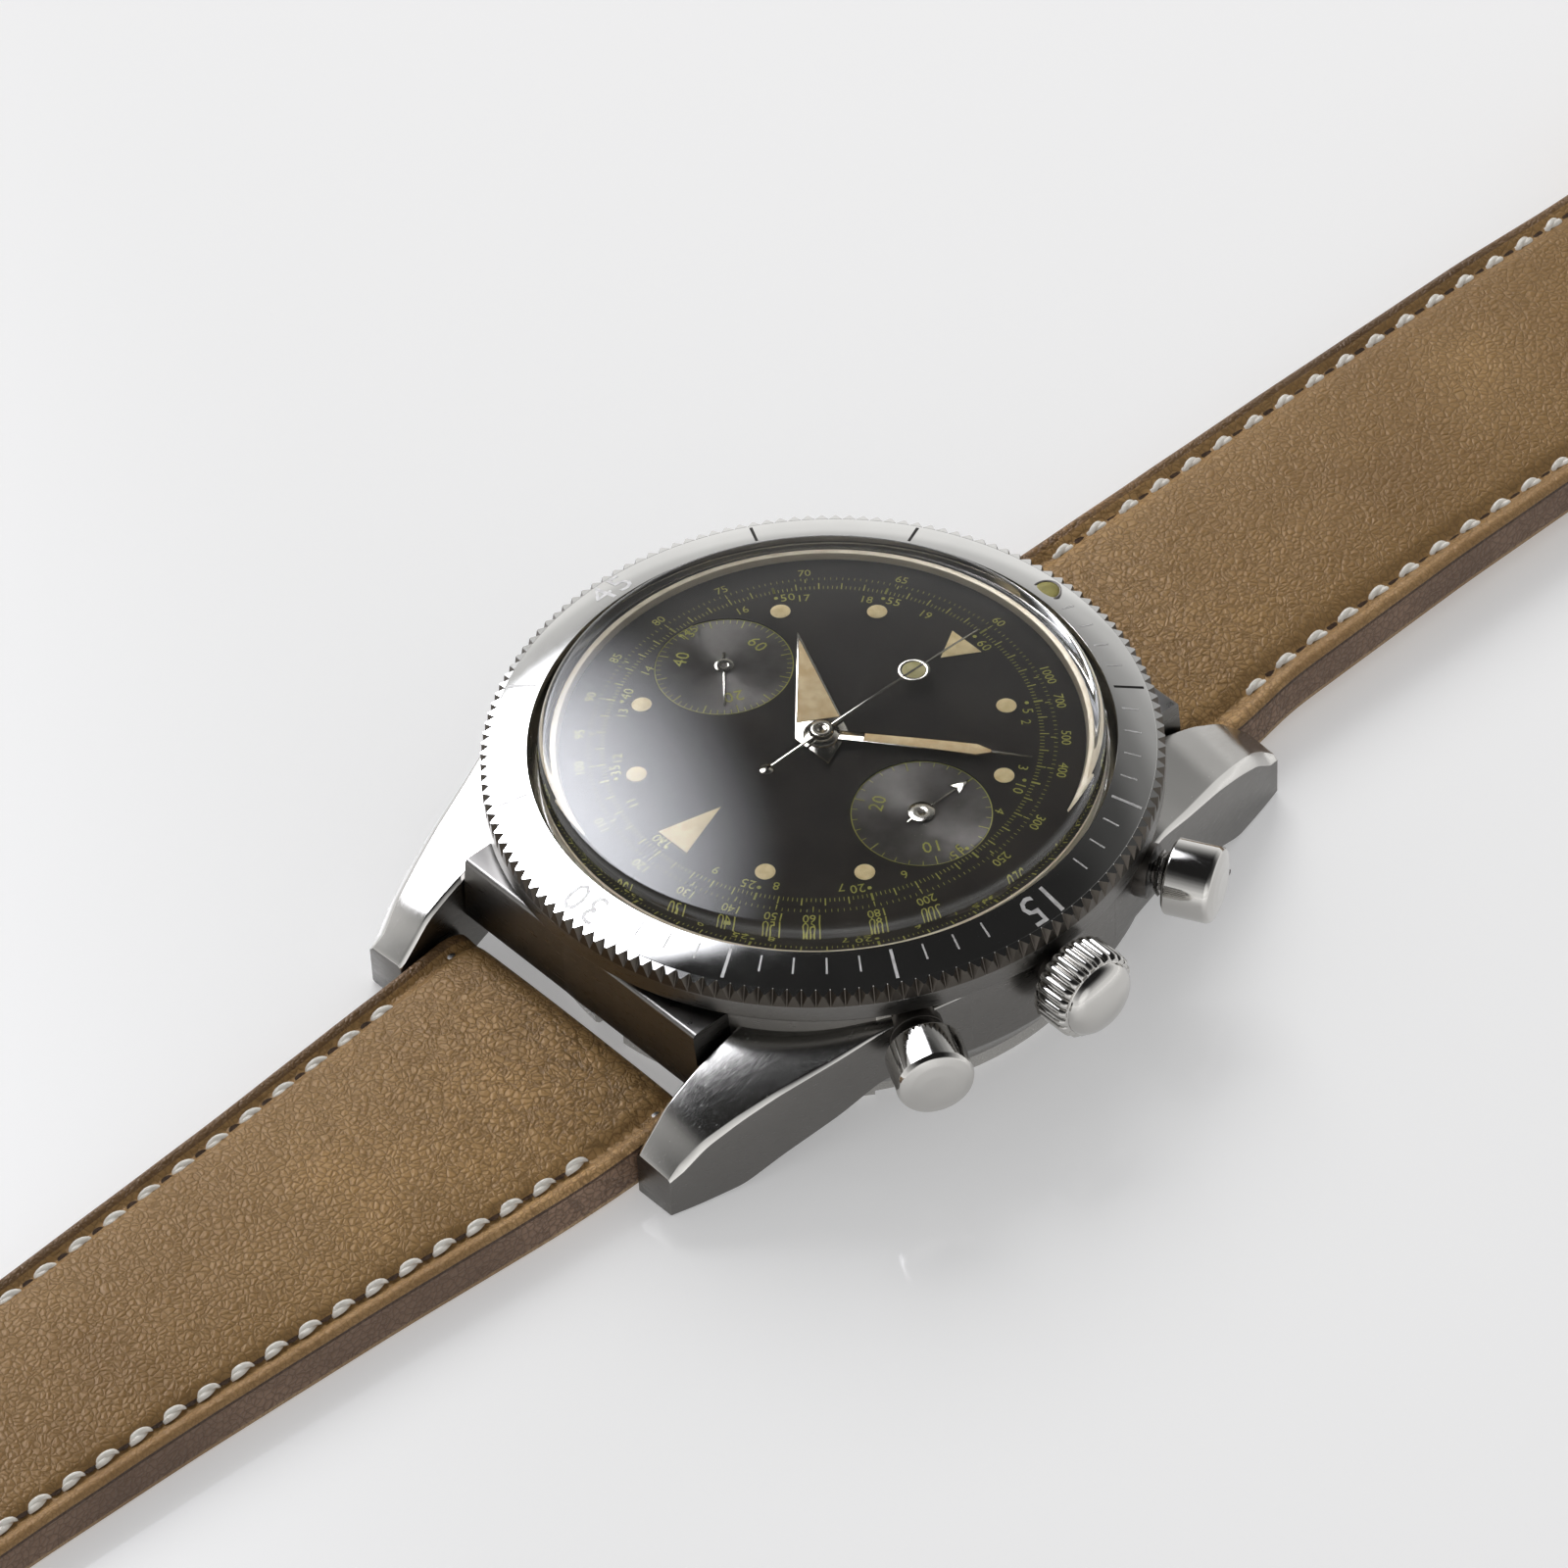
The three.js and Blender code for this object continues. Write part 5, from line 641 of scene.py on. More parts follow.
def lug(name, bevel_share):
    """The lug beside 12 and the crown, as a row of seven-cornered sections. The others are its mirror images."""
    places = np.linspace(0.23, 1, 90)
    top, bottom, bevel, rise = (
        smoothed(np.interp(places, LUG_SHARES[:, 0], LUG_SHARES[:, column])) * SHELF_Z for column in (1, 2, 3, 4))
    points = []
    for place, high, low, edge, lift in zip(places, top, bottom, bevel, rise):
        y = place * LUG_REACH
        outer = (FLANK - y * math.sin(LUG_TURN)) / math.cos(LUG_TURN)
        edge = bevel_share * min(edge, 0.12 + 0.9 * max(place - 0.35, 0))
        inner_high = high + lift
        corners = [
            (LUG_INNER, low), (outer - 0.12, low), (outer, low + 0.12), (outer, high - edge),
            (outer - edge, high), (LUG_INNER + 0.25, inner_high), (LUG_INNER, inner_high - 0.25)]
        points += [(x, y, z) for x, z in corners]
    count = 7
    faces = [face[1:] + face[:1] for face in tube_faces(len(places) - 1, count)]
    faces += [face[::-1] for face in cap_faces(len(points), count)]
    kinds = [1, 1, 1, 2, 0, 2, 1] * (len(places) - 1) + [1, 1]
    piece = mesh_piece(name, points, faces, [satin_lug, satin_steel_painted_shade, polished], kinds)
    return beveled(tidy_mesh(piece), 0.06, 2, 24)


satin_lug = steel_finish("satin_steel_lug", srgb(190, 188, 184), 0.17, 0.28, (9, 1, 5), 0.08, 1100)
lugs = []
for across in (1, -1):
    for along in (1, -1):
        bevel_share = 0.55 if across > 0 > along else 1.0
        lugs.append(placed(lug(f"lug_{len(lugs)}", bevel_share), Matrix.Diagonal((across, along, 1, 1))))
case_lugs = joined("case_lugs", lugs)
on_watch(case_lugs, "case", smooth=24)
print("lugs:", len(case_lugs.data.polygons), "faces")

# %% End walls between the lugs
walls = []
for side in (1, -1):
    outline = eased([(15.9, 1.4), (16.95, 1.4), (18.85, 4), (18.85, 8.42), (18.67, 8.6), (15.9, 8.6)], 0.1, 3, True)
    wall = plate("wall", outline, -10.06, 10.06, [satin_steel_painted_shade, polished], 0)
    placed(wall, on_edge(side))
    tidy_mesh(wall)
    for corner in wall.data.vertices:
        if corner.co.z > 7 * MM and abs(corner.co.x) > 10 * MM:
            corner.co.x *= 0.96
    walls.append(wall)
on_watch(joined("case_end_walls", walls), "case")

# %% [markdown]
# ## Case back
# A flat screwed disc with six notches for the case key and a turned step.

# %% Case back
satin_back = steel_finish("satin_steel_back", srgb(188, 186, 182), 0.2, 0.34, (4, 4, 4), 0.2)
back = turned("case_back_disc", [
    (0, 0), (14.2, 0), (14.4, 0.12), (14.8, 0.12), (15, 0), (16.75, 0), (17.05, 0.3), (17.05, 1.37), (14.6, 1.37),
    (14.6, 2.57), (13.7, 2.57), (13.7, 0.9), (0, 0.9)], [satin_back], None, 192, 0.08, False)
for number in range(6):
    notch = box((1.2, 2.4, 3), (17.05, 0, 0.2))
    cut_away(back, placed(notch, Matrix.Rotation(math.radians(30 + 60 * number), 4, "Z")))
on_watch(back, "case", "case_back")

# %% [markdown]
# ## Bezel
# A polished steel ring whose edge is milled with 150 slanting notches. The ring is turned with the floor of
# the notches, and one tooth is shaped and repeated between them: wide at its foot, narrow at its tip.

# %% Bezel ring
BEZEL_R, BEZEL_MOUTH, BEZEL_EDGE_Z, BEZEL_TOP_Z = 19.5, 16.8, 11.1, 11.93
FALL = (BEZEL_TOP_Z - BEZEL_EDGE_Z) / (BEZEL_R - BEZEL_MOUTH)
NOTCH_DEPTH, NOTCH_HEIGHT, TEETH = 0.45, 0.86, 150
bezel_steel = steel_finish("bezel_steel", srgb(226, 225, 222), 0.06, 0.12, (1, 1, 1), 0.03, 500)
# A darker steel for the floor of the notches and the sides of the teeth: painted shade in the notches.
notch_steel_painted_shade = steel_finish("notch_steel_painted_shade", srgb(92, 87, 81), 0.3, 0.45, (1, 1, 1), 0.1)
inner_wall = steel_finish("bezel_wall", srgb(120, 118, 114), 0.12, 0.22, (1, 1, 10), 0.1)
bezel_ring = turned("bezel_ring", [
    (17.05, 8.95), (19.3, 8.95), (19.5, 9.15), (19.5, BEZEL_EDGE_Z - NOTCH_HEIGHT),
    (BEZEL_R - NOTCH_DEPTH, BEZEL_EDGE_Z + NOTCH_DEPTH * FALL), (16.8, 11.93), (16.8, 11.43), (16.4, 10.93),
    (16.4, 10.9), (17.05, 10.9)], [bezel_steel, satin_steel_painted_shade, inner_wall, notch_steel_painted_shade],
    [(19.0, 19.6, 8.9, 10.26, 1), (19.0, 19.6, 10.26, 11.2, 3), (16.3, 16.81, 10.8, 11.85, 2)], 600, 0.05)

# %% One tooth, repeated round the bezel
TOOTH_TIP, TOOTH_FOOT = 0.14, 0.94
pitch = 2 * math.pi / TEETH
tooth_corners = []
for radius, height in ((BEZEL_R, BEZEL_EDGE_Z - NOTCH_HEIGHT), (BEZEL_R, BEZEL_EDGE_Z),
                       (BEZEL_R - NOTCH_DEPTH, BEZEL_EDGE_Z + NOTCH_DEPTH * FALL)):
    share = TOOTH_TIP if height == BEZEL_EDGE_Z else TOOTH_FOOT
    for side in (-1, 1):
        turn_angle = side * share * pitch / 2
        tooth_corners.append((radius * math.cos(turn_angle), radius * math.sin(turn_angle), height))
tooth_faces = [(0, 1, 3, 2), (2, 3, 5, 4), (0, 2, 4), (1, 5, 3), (0, 4, 5, 1)]
tooth = mesh_piece("bezel_tooth", tooth_corners, tooth_faces, [bezel_steel, notch_steel_painted_shade], [1, 0, 1, 1, 1])
tidy_mesh(tooth)
teeth = []
for number in range(TEETH):
    copy = tooth.copy()
    copy.data = tooth.data.copy()
    scene.collection.objects.link(copy)
    teeth.append(placed(copy, Matrix.Rotation((number + 0.2) * pitch, 4, "Z")))
bpy.data.objects.remove(tooth)
bezel_piece = joined("bezel_ring", [bezel_ring] + teeth)
on_watch(bezel_piece, "bezel", "bezel", 28)
print("bezel:", len(bezel_piece.data.polygons), "faces")


# %% [markdown]
# ## Engraving and printing
# Ticks are one strip copied round a circle. Numbers are text turned into mesh, moved to their place and laid
# on the surface: flat on the dial, or rolled onto the slope of the bezel.

# %% Helpers for marks
def lettering(text, size, spacing=1.0):
    """The text as a flat mesh in millimetres, centred on the origin: its points and its faces."""
    bpy.ops.object.text_add(location=(0, 0, 0))
    writing = bpy.context.object
    writing.data.body = text
    writing.data.size = size
    writing.data.space_character = spacing
    writing.data.align_x, writing.data.align_y = "CENTER", "CENTER"
    writing.data.resolution_u = 2
    bpy.ops.object.convert(target="MESH")
    points = [tuple(vertex.co) for vertex in writing.data.vertices]
    faces = [tuple(face.vertices) for face in writing.data.polygons]
    bpy.data.objects.remove(bpy.context.object)
    middle = (max(p[1] for p in points) + min(p[1] for p in points)) / 2
    return [(x, y - middle) for x, y, _ in points], faces


def strip(width, length):
    """A straight mark of that width, from the origin outwards."""
    return [(side * width / 2, y) for y in (0, length) for side in (-1, 1)], [(0, 1, 3, 2)]


def disc(radius, steps):
    """A round mark on the origin."""
    return circle(radius, steps), [tuple(range(steps))]


class Marks:
    """Collects flat marks in one mesh. `lay` turns a place on the drawing into a point in space."""

    def __init__(self, lay):
        self.lay, self.points, self.faces = lay, [], []

    def add(self, shape, radius, degrees, centre=(0, 0)):
        """Puts a shape at a radius and a clock angle."""
        start = len(self.points)
        self.points += [self.lay(x, y, radius, degrees, centre) for x, y in shape[0]]
        self.faces += [tuple(start + i for i in face) for face in shape[1]]

    def piece(self, name, material, body, slot):
        piece = mesh_piece(name, self.points, self.faces, [material])
        tidy_mesh(piece, 0.0001)
        on_its_own(piece)
        up_facing = sum(face.normal.z * face.area for face in piece.data.polygons)
        if up_facing < 0:
            piece.data.flip_normals()
        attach(piece, body)
        return piece


def flat_at(height):
    """Lays marks flat at a height."""
    def lay(x, y, radius, degrees, centre):
        angle, out = math.radians(degrees), radius + y
        return (centre[0] + out * math.sin(angle) + x * math.cos(angle),
                centre[1] + out * math.cos(angle) - x * math.sin(angle), height)
    return lay


def on_bezel(lift):
    """Rolls marks onto the slope of the bezel, just above it."""
    def lay(x, y, radius, degrees, centre):
        out = radius + y
        angle = math.radians(degrees) + x / radius
        height = BEZEL_TOP_Z - (out - BEZEL_MOUTH) * FALL + lift
        return (out * math.sin(angle), out * math.cos(angle), height)
    return lay


# %% Engraving on the bezel
engraving, painted = Marks(on_bezel(0.012)), Marks(on_bezel(0.012))
for minute in range(1, 60):
    if minute in (15, 30, 45):
        continue
    if minute in (5, 50, 55):
        painted.add(strip(0.17, 1.75), 17.1, 6 * minute)
    elif minute % 5 == 0:
        engraving.add(strip(0.17, 1.75), 17.1, 6 * minute)
    elif minute < 30 and minute not in (14, 16, 29):
        engraving.add(strip(0.1, 0.95), 17.2, 6 * minute)
for minute in (15, 30, 45):
    engraving.add(lettering(str(minute), 2.6, 1.1), 18.05, 6 * minute)
engraving.piece("bezel_engraving", engraved, "bezel", "steel")
painted.piece("bezel_painted_ticks", tick_paint, "bezel", "steel")

# %% Luminous pip in its dark ring
PIP_PLACE = 17.7
pip_z = BEZEL_TOP_Z - (PIP_PLACE - BEZEL_MOUTH) * FALL
pip = turned("pip_dome", [(0, 11.2), (0.76, 11.2), (0.78, pip_z), (0.6, pip_z + 0.07), (0.3, pip_z + 0.11),
                          (0, pip_z + 0.12)], [old_pip], None, 48, 0.02, False)
pip_ring = turned("pip_ring", [(0.76, 11.25), (0.875, 11.25), (0.875, pip_z + 0.06), (0.76, pip_z + 0.05)],
                  [dark_steel], None, 48, 0.01)
for piece in (pip, pip_ring):
    placed(piece, shift(0, PIP_PLACE))
on_watch(pip, "bezel", "bezel_pip", 40)
on_watch(pip_ring, "bezel")

# %% [markdown]
# ## Crystal
# Acrylic with a straight wall, a rounded shoulder and a shallow dome. It is glass for the eye, and lets
# light through to the dial without the noise of real refraction.

# %% Crystal
crystal_glass, glass_tree, glass_shader = finish(
    "acrylic_crystal", Base_Color=(0.985, 0.985, 0.98, 1), Transmission_Weight=1.0, IOR=1.49)
glass_rough = ramp(glass_tree, [(0.5, 0.0), (0.9, 0.004)], "LINEAR")
wire(glass_tree, grain(glass_tree, 300, 4).outputs[0], glass_rough.inputs[0])
wire(glass_tree, glass_rough.outputs[0], glass_shader.inputs["Roughness"])
see_through = add_node(glass_tree, "ShaderNodeBsdfTransparent")
light_path = add_node(glass_tree, "ShaderNodeLightPath")
either = add_node(glass_tree, "ShaderNodeMixShader")
for value, socket in zip((light_path.outputs["Is Shadow Ray"], glass_shader.outputs[0], see_through.outputs[0]),
                         either.inputs):
    wire(glass_tree, value, socket)
wire(glass_tree, either.outputs[0], glass_tree.nodes["Material Output"].inputs[0])

outer_dome = [(15.6 * (1 - t), 13 + 0.9 * (1 - (1 - t) ** 2.2)) for t in np.linspace(0, 1, 30)]
inner_dome = [(15.4 * t, 11.8 + 0.9 * (1 - t ** 2.2)) for t in np.linspace(0, 1, 30)]
shoulder = [(16.2 - 0.6 * (1 - math.cos(a)), 12.2 + 0.8 * math.sin(a)) for a in np.linspace(0, math.pi / 2, 10)]
crystal_piece = turned("crystal_glass", [(15.4, 9.88), (16.2, 9.88)] + shoulder + outer_dome[1:] + inner_dome,
                       [crystal_glass], None, 160, 0, False)
tidy_mesh(crystal_piece)
on_watch(crystal_piece, "case", "crystal", 40)

# %% Ring round the dial
champagne, champagne_tree, champagne_shader = finish("champagne_ring", Metallic=0.25, Roughness=0.35)
champagne_lines = grain(champagne_tree, 700, 3, (1, 1, 6))
toned(champagne_tree, champagne_shader, champagne_lines, srgb(226, 212, 184), srgb(244, 234, 212))
rehaut = turned("rehaut_slope", [(14.75, 9.43), (15.35, 9.43), (15.35, 10.71), (15.0, 10.71)], [champagne],
                None, 192, 0.03)
on_watch(rehaut, "case", "rehaut_ring")

# %% [markdown]
# ## Dial
# A brass disc lacquered black with two sunk registers. Each register is turned with fine circular grooves,
# which catch the light in two opposite fans. They are finer than a pixel, so its material only says which way
# they run and spreads the shine across them.

# %% Dial plate
dial_plate = turned("dial_plate", [(0, 9.0), (15.2, 9.0), (15.2, 9.4), (0, 9.4)], [lacquer], None, 192, 0.02,
                    False)
REGISTERS = {"seconds": -8.1, "minutes": 8.1}
for x in REGISTERS.values():
    cut_away(dial_plate, drum("register_tool", 3.95, 9.25, 9.8, [lacquer], 0, 128, (x, 0)))
on_watch(dial_plate, "case", "dial", 30)


def grooved(name, x):
    """Fine turned grooves: they spread a reflection across themselves, so it fans out from the middle."""
    material, tree, shader = finish(name, Roughness=0.42, Metallic=0.85, Anisotropic=0.9)
    place = add_node(tree, "ShaderNodeTexCoord").outputs["Object"]
    outward = computed(tree, "SUBTRACT", place, (x * MM, 0, 0), kind="ShaderNodeVectorMath")
    along = computed(tree, "CROSS_PRODUCT", outward, (0, 0, 1), kind="ShaderNodeVectorMath")
    wire(tree, along, shader.inputs["Tangent"])
    toned(tree, shader, grain(tree, 900), srgb(88, 85, 82), srgb(104, 101, 97))
    return material


for name, x in REGISTERS.items():
    floor = drum(f"register_{name}", 3.94, 9.2, 9.262, [grooved(f"grooves_{name}", x)], 0, 128, (x, 0))
    on_watch(floor, "case")

# %% Printing on the dial
prints = Marks(flat_at(9.408))
for minute in range(60):
    angle = 6 * minute
    prints.add(strip(0.07, 0.52), 12.15, angle)
    for fifth in range(1, 5):
        prints.add(strip(0.035, 0.26), 12.15, angle + 1.2 * fifth)
    if minute % 5 == 0:
        prints.add(strip(0.13, 0.52), 12.15, angle)
        prints.add(disc(0.12, 14), 11.75, angle)
        label = str(minute if minute else 60)
        prints.add(lettering(label, 0.86, 1.05), 11.67, angle + (3.2 if minute else 4.4))

# %% Speed scale round the edge, in units to the hour
speeds = [1000, 700, 500, 400, 300, 250, 200, 180, 160, 150, 140, 130, 120, 110, 100, 95, 90, 85, 80, 75, 70, 65, 60]
for speed in speeds:
    angle = 6 * 3600 / speed
    prints.add(strip(0.06, 0.3), 12.75, angle)
    prints.add(lettering(str(speed), 0.8, 0.95), 13.62, angle)
for unit in range(2, 20):
    prints.add(lettering(str(unit), 0.8, 1.0), 11.45, 360 * unit / 20 + 1.5)
for k in range(240):
    prints.add(strip(0.03, 0.2), 12.95, 1.5 * k)

# %% Registers: rings, ticks and numbers
REGISTER_PRINT_Z, RING_STEPS = 9.268, 96
for name, x in REGISTERS.items():
    centre = (x, 0)
    low = Marks(flat_at(REGISTER_PRINT_Z))
    steps = 60 if name == "seconds" else 30
    for k in range(steps):
        width, length, radius = (0.04, 0.34, 3.56) if k % 5 else (0.06, 0.62, 3.28)
        low.add(strip(width, length), radius, 360 * k / steps, centre)
    numbers = {60: 0, 20: 120, 40: 240} if name == "seconds" else {10: 120, 20: 240}
    for number, angle in numbers.items():
        low.add(lettering(str(number), 1.15, 1.05), 2.55, angle, centre)
    start = len(low.points)
    for radius in (3.93, 3.87):
        low.points += [(px, py, REGISTER_PRINT_Z) for px, py in circle(radius, RING_STEPS, centre)]
    low.faces += [tuple(start + i for i in face) for face in tube_faces(1, RING_STEPS)]
    low.piece(f"print_{name}", olive_print, "case", "dial_black")
prints.piece("dial_print", olive_print, "case", "dial_black")

# %% Luminous dots and triangles
dots = []
for hour in (1, 2, 4, 5, 7, 8, 10, 11):
    angle = math.radians(30 * hour)
    place = (10.58 * math.sin(angle), 10.58 * math.cos(angle))
    dot = drum("dot", 0.575, 9.39, 9.47, [cream_paste], 0.04, 32, place)
    dots.append(dot)
for outline in ([(-1.2, 11.15), (1.2, 11.15), (0, 9.1)], [(-1.175, -11.27), (1.175, -11.27), (0, -7.6)]):
    dots.append(plate("triangle", outline, 9.39, 9.47, [cream_paste], 0.04))
on_watch(joined("dial_lume", dots), "case", smooth=40)

# %% [markdown]
# ## Hands
# All hands are thin steel. The hour and minute hands are open frames filled with paste that has browned at
# its edge, so each gets a brown plate just under a slightly smaller cream one.

# %% Hour and minute hands
def inner_outline(outline, inset):
    """The outline moved inwards by the same distance on every side. It is given counter-clockwise."""
    moved, count = [], len(outline)
    for i in range(count):
        a, b, c = (np.array(outline[(i + k) % count], float) for k in (-1, 0, 1))
        one, two = (b - a) / np.linalg.norm(b - a), (c - b) / np.linalg.norm(c - b)
        normals = np.array([-one[1], one[0]]), np.array([-two[1], two[0]])
        middle = normals[0] + normals[1]
        middle = middle / max(np.linalg.norm(middle), 1e-6)
        reach = inset / max(middle @ normals[0], 0.3)
        moved.append(tuple(b + middle * reach))
    return moved


HOUR_Z, MINUTE_Z, SWEEP_Z, HAND = 9.66, 10.03, 10.51, 0.17
HOUR_TURN, MINUTE_TURN, RING_PLACE = 303.5, 52, 7.1
browned = speckled("browned_paste", srgb(128, 92, 52), srgb(92, 62, 34), 1500, 0.7, 0.4)


def hand(name, body, node, outline, paste, bottom, turn, hub=None):
    """A steel hand turned to its hour, with its paste and a hub if it has one."""
    blade = plate(name, outline, bottom, bottom + HAND - 0.02, [hand_steel], 0.045, 3)
    parts = [blade]
    if hub:
        parts.append(drum("hub", hub, bottom, bottom + HAND, [hand_steel], 0.05, 48))
    blade = joined(name, parts)
    placed(blade, clock(turn))
    on_watch(blade, body, node, 25)
    under = plate(name + "_paste_edge", paste, bottom + 0.1, bottom + HAND - 0.008, [browned], 0.01)
    over = plate(name + "_paste", inner_outline(paste, 0.035), bottom + 0.1, bottom + HAND + 0.012, [hand_paste],
                 0.02)
    for piece in (under, over):
        placed(piece, clock(turn))
        on_watch(piece, body, smooth=40)


hand("hour_blade", "hours", "hour_hand", [(0, 8.6), (-1.55, 0), (0, -2.3), (1.55, 0)],
     [(0, 8.0), (-1.24, 1.2), (1.24, 1.2)], HOUR_Z, HOUR_TURN)
hand("minute_blade", "minutes", "minute_hand",
     [(-0.35, 0.4), (-0.475, 8.8), (-0.114, 9.52), (-0.047, 11.9), (0.047, 11.9), (0.114, 9.52), (0.475, 8.8),
      (0.35, 0.4)][::-1],
     [(-0.32, 2.4), (0.32, 2.4), (0.43, 8.75), (0.11, 9.6), (-0.11, 9.6), (-0.43, 8.75)], MINUTE_Z,
     MINUTE_TURN, 1.05)

# %% Sweep hand with its ring, and the two small hands
top = SWEEP_Z + HAND
needle = plate("needle", [(-0.11, -4.2), (0.11, -4.2), (0.055, 12.1), (-0.055, 12.1)], SWEEP_Z, top, [hand_steel],
               0.03)
weight = drum("weight", 0.43, SWEEP_Z, top, [hand_steel], 0.05, 40, (0, -4.2))
ring = turned("ring", [(0.68, SWEEP_Z), (0.92, SWEEP_Z), (0.92, top), (0.68, top)], [hand_steel], None, 56, 0.05)
placed(ring, shift(0, RING_PLACE))
# The small hole in the cap's middle takes the dark steel, painted shade in the hole.
cap = turned("cap", [(0, SWEEP_Z - 0.17), (0.7, SWEEP_Z - 0.17), (0.7, SWEEP_Z + 0.6), (0.62, SWEEP_Z + 0.75),
                     (0.34, SWEEP_Z + 0.75), (0.3, SWEEP_Z + 0.68), (0.12, SWEEP_Z + 0.68), (0.1, SWEEP_Z + 0.5),
                     (0, SWEEP_Z + 0.5)], [hand_steel, dark_steel],
             [(0, 0.12, SWEEP_Z + 0.45, SWEEP_Z + 0.6, 1)], 56, 0.03, False)
sweep = joined("sweep_needle", [needle, weight, ring, cap])
on_watch(sweep, "chrono_seconds", "chrono_seconds_hand", 30)
sweep_paste = drum("sweep_paste", 0.675, SWEEP_Z + 0.05, SWEEP_Z + 0.13, [pip_paste], 0.02, 48,
                   (0, RING_PLACE))
on_watch(sweep_paste, "chrono_seconds", smooth=40)

SMALL_Z = 9.42
for name, body, node, x, length, hub, turn, arrow in (
        ("seconds_needle", "seconds", "running_seconds_hand", REGISTERS["seconds"], 3.24, 0.55, 132, None),
        ("counter_needle", "minute_counter", "minute_counter_hand", REGISTERS["minutes"], 3.03, 0.75, 0,
         [(-0.45, 2.45), (0, 2.7), (0.45, 2.45), (0, 3.6)])):
    # The hole in each boss's middle takes the dark steel, painted shade in the hole.
    parts = [
        plate("blade", [(-0.09, -1.1), (0.09, -1.1), (0.05, length), (-0.05, length)], SMALL_Z, SMALL_Z + 0.1,
              [hand_steel], 0.02),
        turned("boss", [(0, SMALL_Z), (hub, SMALL_Z), (hub, SMALL_Z + 0.16), (0.2, SMALL_Z + 0.16),
                        (0.17, SMALL_Z + 0.12), (0, SMALL_Z + 0.12)], [hand_steel, dark_steel],
               [(0, 0.16, SMALL_Z + 0.1, SMALL_Z + 0.13, 1)], 48, 0.03, False)]
    if arrow:
        parts.append(plate("arrow", arrow, SMALL_Z, SMALL_Z + 0.1, [hand_steel], 0.02))
    small = joined(name, parts)
    placed(small, shift(x) @ clock(turn))
    on_watch(small, body, node, 30)

# %% [markdown]
# ## Crown and pushers
# The crown is a fluted barrel with a domed end, the pushers are plain polished caps on dark necks. The crown's
# skin is one grid: its radius follows a profile along the axis, less the flutes round it.

# %% Crown
CROWN_R, FLUTES, FLUTE_STEPS, FLUTE_DEPTH = 2.75, 24, 12, 0.34
dome = [(2.32 * math.cos(a), 22.42 + 1.08 * math.sin(a)) for a in np.radians(np.linspace(0, 89.5, 16))]
profile = [(1.75, 19.92), (2.40, 19.92), (2.62, 20.0), (2.74, 20.2), (CROWN_R, 20.5), (CROWN_R, 21.9), (2.70, 22.2),
           (2.55, 22.36), (2.36, 22.38)] + dome
rim_steps = FLUTES * FLUTE_STEPS
points = []
for radius, x in profile:
    depth = FLUTE_DEPTH * max(0, min(1, (radius - 2.36) / FLUTE_DEPTH))
    for k in range(rim_steps):
        wave = abs(math.sin(math.pi * k / FLUTE_STEPS))
        own = radius - depth * (1 - wave ** 0.6)
        angle = 2 * math.pi * k / rim_steps
        points.append((own * math.cos(angle), own * math.sin(angle), x))
faces = tube_faces(len(profile) - 1, rim_steps) + cap_faces(len(points), rim_steps)
crown_piece = mesh_piece("crown_fluted", points, faces, [polished])
placed(tidy_mesh(crown_piece), ON_STEM)
on_watch(crown_piece, "crown", "crown", 35)
crown_neck = turned("crown_sleeve", [(0.65, 15.8), (1.2, 15.8), (1.2, 21.2), (0.65, 21.2)], [dark_steel], None, 64,
                    0.06)
placed(crown_neck, ON_STEM)
on_watch(crown_neck, "case", "crown_tube")

# %% Pushers with their tubes
for name, side in (("start", 1), ("reset", -1)):
    cap = turned(f"pusher_cap_{name}", [
        (0, 14.35), (0.6, 14.35), (0.6, 22.3), (1.85, 22.3), (1.85, 20.82), (2.1, 20.8), (2.25, 20.95),
        (2.25, 23.35), (2.12, 23.62), (1.6, 23.78), (0.9, 23.87), (0, 23.9)], [polished], None, 128, 0.07, False)
    placed(cap, at_pusher(side))
    on_watch(cap, "pusher_" + name, "pusher_" + name, 35)
    tube = turned(f"pusher_neck_{name}", [
        (0.65, 15.75), (1.2, 15.75), (1.2, 18.81), (1.6, 18.81), (1.6, 19.75), (0.65, 19.75)], [dark_steel], None, 64,
        0.05)
    placed(tube, at_pusher(side))
    on_watch(tube, "case", "pusher_tube_" + name)
# A flat dark disc, painted shade of the pin hole in the start pusher.
pin_hole = drum("pusher_pin_hole", 0.17, 23.84, 23.88, [hole_shade], 0, 24, (0, 0))
placed(pin_hole, at_pusher(1) @ shift(0.3, 1.5, -0.08))
on_watch(pin_hole, "pusher_start")

# %% [markdown]
# ## Strap
# Each half is a padded band: a firm rim, a stitched channel inside it and a pillow of filler in the middle.
# The tables below give the band's shape along its length, read in between and smoothed. The top and bottom
# heights are functions of the place, so the stitches can be laid on the same surface.

